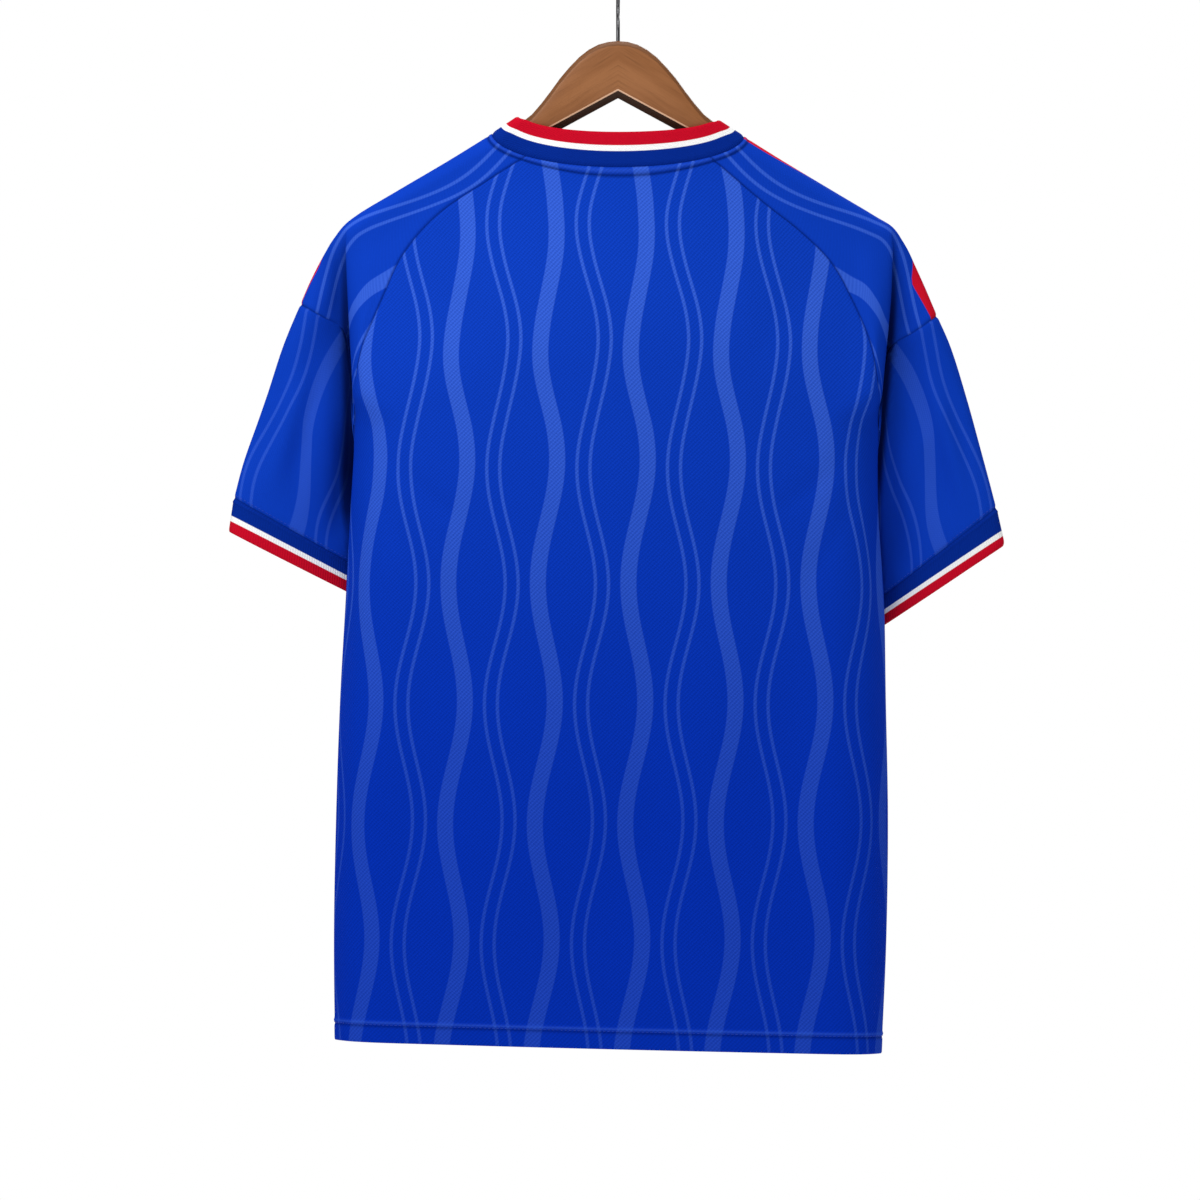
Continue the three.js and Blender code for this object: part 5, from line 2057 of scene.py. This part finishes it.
@dataclass
class HangerWood:
    """The wooden wishbone: a flat middle with a hump, and two arms that sweep forward."""

    material: Material
    edge_material: Material
    under_material: Material
    arris_material: Material
    hump: tuple[Pair, ...] = (
        (0.0, -0.0552), (0.012, -0.0568), (0.026, -0.0640), (0.043, -0.0810),
        (0.058, -0.1010), (0.070, -0.1150), (0.084, -0.1246),
    )
    apex_z: float = -0.1010
    under_slope: float = 0.540
    arm_height: float = 0.020
    seat: float = 0.0037
    half_thickness: Pair = (0.007, 0.0096)
    tip_rounding: float = 0.016
    tip_overrun: float = 0.0016
    stations: int = 38
    top_bevel: float = 0.0052
    under_bevel: float = 0.0055
    arris: float = 0.0007
    edge_slope: float = 0.35
    chamfer_slope: float = -0.55
    arris_slope: float = -0.15
    upright: float = 0.05
    sloping: Pair = (-0.9, -0.3)
    swell_reach: float = 0.18
    bunching: float = 0.55

    def top_z(self, side: Side, reach: float) -> float:
        """Gives the height of the wood's top edge.

        Args:
            side: The side of the hanger.
            reach: Distance from the middle.

        Returns:
            The height there.
        """
        hump = SmoothPath([(x, 0.0, z) for x, z in self.hump]).dense
        last_x, last_z = self.hump[-1]
        if reach <= last_x:
            return float(np.interp(reach, hump[:, 0], hump[:, 2]))
        crest = FORM.crest(side).dense
        held = max(reach, FORM.neck_half_width)
        seated = float(np.interp(held, np.abs(crest[:, 0]), crest[:, 2])) - self.seat
        return last_z + (seated - last_z) * min((reach - last_x) / (FORM.neck_half_width - last_x), 1.0)

    def section(self, x: float) -> tuple[Vector, float, float]:
        """Gives the wood's section at a place across.

        Args:
            x: The place across.

        Returns:
            The section's centre, half its thickness and half its height.
        """
        reach = abs(x)
        top = self.top_z(Side.LEFT if x < 0 else Side.RIGHT, reach)
        under = min(self.apex_z - self.under_slope * reach, top - self.arm_height)
        tip = float(rounding(np.array(FORM.hanger_tip_x + self.tip_overrun - reach), self.tip_rounding))
        middle, end = self.half_thickness
        half = (middle + (end - middle) * float(smooth(np.array(reach / self.swell_reach)))) * tip
        y = float(FORM.sweep_y(np.array(x), np.array(FORM.body_edge[0].z)))
        return Vector((x, y, (top + under) / 2)), half, (top - under) / 2 * tip

    def places(self) -> list[float]:
        """The stations' places across, closer together at the tips."""
        even = np.linspace(0.0, 1.0, self.stations)
        reach = FORM.hanger_tip_x * lerp(even, np.sin(even * math.pi / 2), self.bunching)
        return [*(-reach[:0:-1]).tolist(), *reach.tolist()]

    def build(self) -> Object:
        """Extrudes the wishbone section by section and rounds its long edges.

        Returns:
            The wood.
        """
        deselect_all()
        places = self.places()
        centre, half, height = self.section(places[0])
        bpy.ops.mesh.primitive_plane_add(size=1.0, location=centre, rotation=(0.0, math.pi / 2, 0.0))
        wood = bpy.context.object
        wood.name = wood.data.name = "hanger_wood_arms"
        wood.scale = (2 * height, 2 * half, 1.0)
        apply_place(wood)
        bpy.ops.object.mode_set(mode="EDIT")
        bpy.ops.mesh.select_all(action="SELECT")
        for x in places[1:]:
            next_centre, next_half, next_height = self.section(x)
            bpy.ops.mesh.extrude_region_move(TRANSFORM_OT_translate={"value": next_centre - centre})
            bpy.ops.transform.resize(
                value=(1.0, next_half / half, next_height / height), center_override=next_centre,
            )
            centre, half, height = next_centre, next_half, next_height
        bpy.ops.mesh.select_all(action="SELECT")
        bpy.ops.mesh.normals_make_consistent(inside=False)
        self._round_edges(wood, upper=True, width=self.top_bevel, segments=5)
        self._round_edges(wood, upper=False, width=self.under_bevel, segments=1)
        self._soften_arris(wood)
        bpy.ops.object.mode_set(mode="OBJECT")
        bpy.ops.object.shade_smooth_by_angle(angle=math.radians(32))
        for material in (self.material, self.edge_material, self.under_material, self.arris_material):
            wood.data.materials.append(material)
        # Lit and shaded copies of the wood by the way each face looks: painted shade on the upward faces,
        # much deeper painted shade on the underside and a painted highlight on the arris.
        for polygon in wood.data.polygons:
            slope = polygon.normal.z / max(math.hypot(polygon.normal.y, polygon.normal.z), 1e-6)
            if slope > self.edge_slope:
                polygon.material_index = 1
            elif slope < self.chamfer_slope:
                polygon.material_index = 2
            elif slope < self.arris_slope:
                polygon.material_index = 3
        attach(wood, "root")
        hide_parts("hanger_wood")
        LOG.info("%s: %d faces", wood.name, len(wood.data.polygons))
        return wood

    def _soften_arris(self, wood: Object) -> None:
        """Bevels the long edges between the faces and the chamfers below them.

        Args:
            wood: The wood, in edit mode, its lower edges already chamfered.
        """
        bpy.ops.mesh.select_all(action="DESELECT")
        bpy.ops.object.mode_set(mode="OBJECT")
        mesh = wood.data
        faces_of: dict[tuple[int, int], list[Vector]] = {}
        for polygon in mesh.polygons:
            for key in polygon.edge_keys:
                faces_of.setdefault(key, []).append(polygon.normal.copy())
        for edge in mesh.edges:
            first, second = (mesh.vertices[index].co for index in edge.vertices)
            normals = faces_of[tuple(sorted(edge.vertices))]
            upright = min(abs(normal.z) for normal in normals) < self.upright
            sloping = any(self.sloping[0] < normal.z < self.sloping[1] for normal in normals)
            edge.select = abs(second.x - first.x) > 1e-5 and upright and sloping
        bpy.ops.object.mode_set(mode="EDIT")
        bpy.ops.mesh.bevel(offset=self.arris, segments=1, affect="EDGES")

    def _round_edges(self, wood: Object, upper: bool, width: float, segments: int) -> None:
        """Bevels the long edges of the upper or the lower side.

        Args:
            wood: The wood, in edit mode.
            upper: Whether to take the upper edges.
            width: The bevel's width.
            segments: The bevel's segments.
        """
        bpy.ops.mesh.select_mode(type="EDGE")
        bpy.ops.mesh.select_all(action="DESELECT")
        bpy.ops.object.mode_set(mode="OBJECT")
        mesh = wood.data
        reach = FORM.hanger_tip_x
        for edge in mesh.edges:
            first, second = (mesh.vertices[index].co for index in edge.vertices)
            lengthwise = abs(second.x - first.x) > 1e-5
            centre, _, height = self.section(max(-reach, min(reach, (first.x + second.x) / 2)))
            high = (first.z + second.z) / 2 > centre.z
            at_corner = abs((first.z + second.z) / 2 - centre.z) > height * 0.9
            edge.select = lengthwise and at_corner and high == upper
        bpy.ops.object.mode_set(mode="EDIT")
        bpy.ops.mesh.bevel(offset=width, segments=segments, affect="EDGES")


@dataclass
class HangerHook:
    """The steel hook: an open ring of wire on a straight shank that stands in the wood."""

    material: Material
    wire: float = 0.003
    radius: float = 0.020
    tip_angle: float = math.radians(205)
    end_angle: float = math.radians(-62)
    ring_steps: int = 44
    neck_steps: int = 12
    wood_top_z: float = -0.0552
    seat_depth: float = 0.0136
    sides: int = 20

    def build(self) -> Object:
        """Spins the ring from a disc of wire, bends it back to the shank and draws that down.

        Returns:
            The hook.
        """
        deselect_all()
        centre = Vector((0.0, 0.0, self.wire / 2 - self.radius))
        tip = centre + self.radius * Vector((0.0, math.cos(self.tip_angle), math.sin(self.tip_angle)))
        bpy.ops.mesh.primitive_circle_add(
            vertices=self.sides, radius=self.wire / 2, fill_type="NGON",
            location=tip, rotation=(self.tip_angle, 0.0, 0.0),
        )
        hook = bpy.context.object
        hook.name = hook.data.name = "hanger_hook_wire"
        apply_place(hook)
        bpy.ops.object.mode_set(mode="EDIT")
        bpy.ops.mesh.select_all(action="SELECT")
        turn = self.tip_angle - self.end_angle
        bpy.ops.mesh.spin(steps=self.ring_steps, angle=turn, center=centre, axis=(1.0, 0.0, 0.0))
        self._bend_back(centre)
        bpy.ops.mesh.select_all(action="SELECT")
        bpy.ops.mesh.remove_doubles(threshold=1e-6)
        bpy.ops.mesh.normals_make_consistent(inside=False)
        bpy.ops.object.mode_set(mode="OBJECT")
        bpy.ops.object.shade_smooth_by_angle(angle=math.radians(50))
        hook.data.materials.append(self.material)
        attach(hook, "root")
        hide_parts("hanger_hook")
        LOG.info("%s: %d faces", hook.name, len(hook.data.polygons))
        return hook

    def _bend_back(self, centre: Vector) -> None:
        """Bends the wire's end back over the middle and draws the shank down into the wood.

        Args:
            centre: The centre of the ring.
        """
        end = centre + self.radius * Vector((0.0, math.cos(self.end_angle), math.sin(self.end_angle)))
        lean = -self.end_angle
        bend = end.y / (1.0 - math.cos(lean))
        pivot = end + bend * Vector((0.0, math.cos(self.end_angle), math.sin(self.end_angle)))
        bpy.ops.mesh.spin(steps=self.neck_steps, angle=-lean, center=pivot, axis=(1.0, 0.0, 0.0))
        bottom = end.z - bend * math.sin(lean)
        foot = self.wood_top_z - self.seat_depth
        bpy.ops.mesh.extrude_region_move(TRANSFORM_OT_translate={"value": (0.0, 0.0, foot - bottom)})


@dataclass
class Studio:
    """A pale floor, soft light and the camera."""

    floor_material: Material
    floor_z: float = -2.0
    floor_size: float = 24.0
    camera_place: Point = (-0.0144, -6.0, -0.5024)
    frame_width: float = 0.96
    frame_distance: float = 6.0
    sensor: float = 36.0
    sky: Colour = (1.0, 1.0, 1.0)
    seen_sky: float = 1.0
    lighting_sky: float = 0.22
    ceiling_power: float = 2.45
    ceiling_width: float = math.radians(50)
    ceiling_lean: float = math.radians(10)

    def build(self) -> None:
        """Makes the floor, the light and the camera."""
        deselect_all()
        bpy.ops.mesh.primitive_plane_add(size=self.floor_size, location=(0.0, 0.0, self.floor_z))
        floor = bpy.context.object
        floor.name = floor.data.name = "pale_floor"
        apply_place(floor)
        floor.data.materials.append(self.floor_material)
        self._camera()
        self._light("key_light", place=(-0.75, -1.15, 0.45), target=(0.0, 0.0, -0.35), size=0.9, power=12.6)
        self._light("rear_light", place=(0.3, 1.4, 0.7), target=(0.0, 0.0, -0.2), size=1.1, power=13.0)
        self._ceiling()
        self._room()
        bpy.context.scene.view_settings.view_transform = "Standard"

    def _room(self) -> None:
        """Makes the white room, which lights less than it shows."""
        world = bpy.data.worlds.new("studio")
        world.use_nodes = True
        nodes = world.node_tree.nodes
        background = nodes["Background"]
        background.inputs["Color"].default_value = rgba(self.sky)
        path = nodes.new("ShaderNodeLightPath")
        strength = nodes.new("ShaderNodeMapRange")
        strength.inputs["To Min"].default_value = self.lighting_sky
        strength.inputs["To Max"].default_value = self.seen_sky
        world.node_tree.links.new(path.outputs["Is Camera Ray"], strength.inputs["Value"])
        world.node_tree.links.new(strength.outputs["Result"], background.inputs["Strength"])
        bpy.context.scene.world = world

    def _ceiling(self) -> None:
        """Makes the wide soft light from above that keeps the floor pale."""
        lamp = bpy.data.lights.new("ceiling_light", "SUN")
        lamp.energy = self.ceiling_power
        lamp.angle = self.ceiling_width
        light = bpy.data.objects.new("ceiling_light", lamp)
        light.rotation_euler = (self.ceiling_lean, 0.0, 0.0)
        bpy.context.scene.collection.objects.link(light)

    def _camera(self) -> None:
        """Makes the camera, level and square to the back of the garment."""
        lens = bpy.data.cameras.new("view")
        lens.sensor_width = self.sensor
        lens.lens = self.sensor * self.frame_distance / self.frame_width
        camera = bpy.data.objects.new("view", lens)
        camera.location = self.camera_place
        camera.rotation_euler = (math.pi / 2, 0.0, 0.0)
        bpy.context.scene.collection.objects.link(camera)
        bpy.context.scene.camera = camera

    def _light(self, name: str, place: Point, target: Point, size: float, power: float) -> None:
        """Makes a soft square light.

        Args:
            name: The light's name.
            place: Where it stands.
            target: Where it points.
            size: Its side.
            power: Its power in watts.
        """
        lamp = bpy.data.lights.new(name, "AREA")
        lamp.size = size
        lamp.energy = power
        light = bpy.data.objects.new(name, lamp)
        light.location = place
        way = Vector(target) - Vector(place)
        light.rotation_euler = way.to_track_quat("-Z", "Y").to_euler()
        light.visible_camera = False
        bpy.context.scene.collection.objects.link(light)


# Each crease is its start and end as x and z, its width, its depth, its bow and its face
BACK_CREASES = table(
    Crease,
    ((-0.128, -0.42), (-0.150, -0.86), 0.030, -0.0024, 0.008),
    ((-0.060, -0.36), (-0.070, -0.84), 0.040, 0.0016, -0.010),
    ((0.030, -0.50), (0.018, -0.88), 0.036, -0.0022, 0.006),
    ((0.105, -0.40), (0.128, -0.87), 0.034, -0.0020, -0.008),
    ((0.170, -0.46), (0.176, -0.88), 0.020, 0.0014, 0.006),
    ((-0.196, -0.372), (-0.105, -0.452), 0.0085, -0.0017, 0.006),
    ((-0.200, -0.392), (-0.128, -0.520), 0.010, -0.0014, 0.006),
    ((0.192, -0.376), (0.108, -0.440), 0.0085, -0.0016, -0.006),
    ((0.196, -0.398), (0.132, -0.515), 0.0095, -0.0014, -0.005),
    ((-0.150, -0.225), (-0.090, -0.345), 0.016, -0.0010, 0.004),
    ((0.150, -0.235), (0.086, -0.350), 0.016, -0.0010, -0.004),
)
FRONT_CREASES = table(
    Crease,
    ((-0.118, -0.40), (-0.136, -0.86), 0.030, -0.0024, -0.008),
    ((-0.040, -0.46), (-0.052, -0.88), 0.036, 0.0018, 0.008),
    ((0.048, -0.38), (0.060, -0.86), 0.036, -0.0022, -0.008),
    ((0.132, -0.44), (0.146, -0.88), 0.030, -0.0020, 0.008),
    ((-0.060, -0.232), (-0.012, -0.330), 0.014, -0.0016, -0.006),
    ((0.056, -0.236), (0.018, -0.345), 0.015, -0.0015, 0.006),
    ((-0.194, -0.376), (-0.110, -0.460), 0.009, -0.0017, 0.006),
    ((0.190, -0.380), (0.112, -0.452), 0.009, -0.0016, -0.006),
)
BAND_TURN = {Side.LEFT: 0.0048, Side.RIGHT: 0.0130}
NECK_TURN = {Side.LEFT: 0.0, Side.RIGHT: 0.0090}
YOKE_CREASES = {
    Side.LEFT: table(
        Crease,
        ((-0.200, -0.205), (-0.204, -0.330), 0.008, 0.0012, 0.0, Face.BACK),
        ((-0.226, -0.206), (-0.236, -0.282), 0.0055, 0.0022, 0.0, Face.BACK),
        ((-0.150, -0.176), (-0.205, -0.236), 0.010, -0.0009, 0.0, Face.BACK),
        ((-0.170, -0.205), (-0.210, -0.280), 0.009, -0.0012, 0.0, Face.FRONT),
    ),
    Side.RIGHT: table(
        Crease,
        ((0.200, -0.208), (0.202, -0.335), 0.008, 0.0012, 0.0, Face.BACK),
        ((0.228, -0.208), (0.237, -0.290), 0.0055, 0.0024, 0.0, Face.BACK),
        ((0.146, -0.178), (0.204, -0.240), 0.010, -0.0009, 0.0, Face.BACK),
        ((0.168, -0.208), (0.208, -0.284), 0.009, -0.0012, 0.0, Face.FRONT),
    ),
}
SLEEVE_CREASES = {
    Side.LEFT: table(
        Crease,
        ((-0.230, -0.298), (-0.264, -0.440), 0.0085, -0.0036, 0.004),
        ((-0.246, -0.310), (-0.282, -0.430), 0.0070, 0.0022, 0.003),
        ((-0.222, -0.345), (-0.230, -0.475), 0.0080, -0.0040, -0.004),
        ((-0.262, -0.300), (-0.294, -0.415), 0.0075, -0.0024, 0.003),
        ((-0.226, -0.380), (-0.274, -0.436), 0.0070, -0.0020, 0.003, Face.FRONT),
    ),
    Side.RIGHT: table(
        Crease,
        ((0.230, -0.306), (0.268, -0.460), 0.0085, -0.0040, -0.004),
        ((0.244, -0.312), (0.282, -0.440), 0.0070, 0.0026, -0.003),
        ((0.219, -0.360), (0.230, -0.505), 0.0080, -0.0042, 0.004),
        ((0.252, -0.300), (0.288, -0.425), 0.0075, -0.0030, -0.003),
        ((0.224, -0.390), (0.272, -0.450), 0.0070, -0.0020, -0.003, Face.FRONT),
    ),
}


@dataclass
class Jersey:
    """The whole garment."""

    body_knit: Material
    yoke_knit: Material
    sleeve_knit: Material
    cuff_rib: Material
    collar_rib: Material
    thread: Material
    panel_cut: Cut = Cut(width=0.48, length=0.74, area=0.33)
    yoke_cut: Cut = Cut(width=0.20, length=0.24, area=0.030)
    sleeve_cut: Cut = Cut(width=0.34, length=0.19, area=0.035)
    cuff_cut: Cut = Cut(width=0.29, length=0.03, area=0.0082)
    collar_cut: Cut = Cut(width=0.46, length=0.03, area=0.0120)
    hem_stitches: float = 0.0146
    cuff_stitches: float = 0.0022

    def build(self) -> None:
        """Makes every cloth piece and its sewing."""
        patches: dict[str, ClothPatch] = {}
        raw: Grids = {}
        on_wood = ("hanger_wood",)
        for face, creases in ((Face.BACK, BACK_CREASES), (Face.FRONT, FRONT_CREASES)):
            node = f"{face.word}_panel"
            piece = ClothPiece(f"{node}_cloth", node, "jersey_blue", self.panel_cut, self.body_knit, on_wood)
            panel = BodyPanel(face, piece, creases)
            patches[node], raw[node] = panel.build(), panel.patch().points
        for side in Side:
            node = f"yoke_{side.word}"
            piece = ClothPiece(f"{node}_cloth", node, "jersey_blue", self.yoke_cut, self.yoke_knit, on_wood)
            yoke = Yoke(side, piece, YOKE_CREASES[side], BAND_TURN[side], NECK_TURN[side])
            patches[node], raw[node] = yoke.build(), yoke.patch().points
            node = f"sleeve_{side.word}"
            piece = ClothPiece(f"{node}_cloth", node, "jersey_blue", self.sleeve_cut, self.sleeve_knit)
            patches[node] = Sleeve(side, piece, SLEEVE_CREASES[side]).build()
            node = f"cuff_{side.word}"
            piece = ClothPiece(f"{node}_rib", node, "rib_knit", self.cuff_cut, self.cuff_rib)
            patches[node] = Cuff(side, piece).build()
        piece = ClothPiece("collar_rib", "collar", "rib_knit", self.collar_cut, self.collar_rib)
        patches["collar"] = Collar(piece).build(raw)
        self._sew(patches)

    def _sew(self, patches: dict[str, ClothPatch]) -> None:
        """Makes the rows of stitches.

        Args:
            patches: The outer faces of the pieces by node.
        """
        rows = [(f"hem_stitches_{face.word}", f"{face.word}_panel", self.hem_stitches) for face in Face]
        rows += [(f"cuff_stitches_{side.word}", f"sleeve_{side.word}", self.cuff_stitches) for side in Side]
        for name, node, distance in rows:
            patch = patches[node]
            line, up = (
                line_beside(patch.points, values, Edge.BOTTOM, distance)
                for values in (patch.points, patch.normals())
            )
            StitchRow(name, [(line, up)], self.thread).build()


def corners(box: tuple[Vector, Vector]) -> list[list[float]]:
    """Writes a box's lowest and highest corner as plain lists."""
    return [list(corner) for corner in box]


def main() -> None:
    """Builds the studio, the hanger and the jersey."""
    logging.basicConfig(level=logging.INFO, format="%(message)s")
    Studio(FloorFinish().build()).build()
    HangerWood(
        WoodFinish().build(),
        # Copies of the wood with painted shade on the upward faces and the underside, and a painted
        # highlight on the arris.
        WoodFinish("varnished_wood_edge", shade_factor=0.62).build(),
        WoodFinish("varnished_wood_underside", shade_factor=0.10).build(),
        WoodFinish("varnished_wood_arris", dark=(0.46, 0.25, 0.14), middle=(0.66, 0.40, 0.25),
                   light=(0.74, 0.47, 0.32)).build(),
    ).build()
    HangerHook(SteelFinish().build()).build()
    # The shoulder and sleeve knits get no painted shade towards the hem but slightly fainter stripes.
    smooth_knit = {"mesh_depth": 0.00008, "mesh_tone": 0.07, "knit_pitch": 0.0026, "low_tone": 1.0,
                   "low_ground": KnitFinish.ground, "low_stripes": 0.8}
    Jersey(
        body_knit=KnitFinish("body_mesh_knit").build(),
        yoke_knit=KnitFinish("shoulder_knit", red_band=(0.0006, 0.0115), **smooth_knit).build(),
        sleeve_knit=KnitFinish("sleeve_knit", stripe_strength=0.5, **smooth_knit).build(),
        cuff_rib=RibFinish("striped_cuff_rib", white_band=(0.0102, 0.0146)).build(),
        collar_rib=RibFinish("striped_collar_rib", white_band=(0.0113, 0.0160)).build(),
        thread=ThreadFinish().build(),
    ).build()


if __name__ == "__main__":
    main()
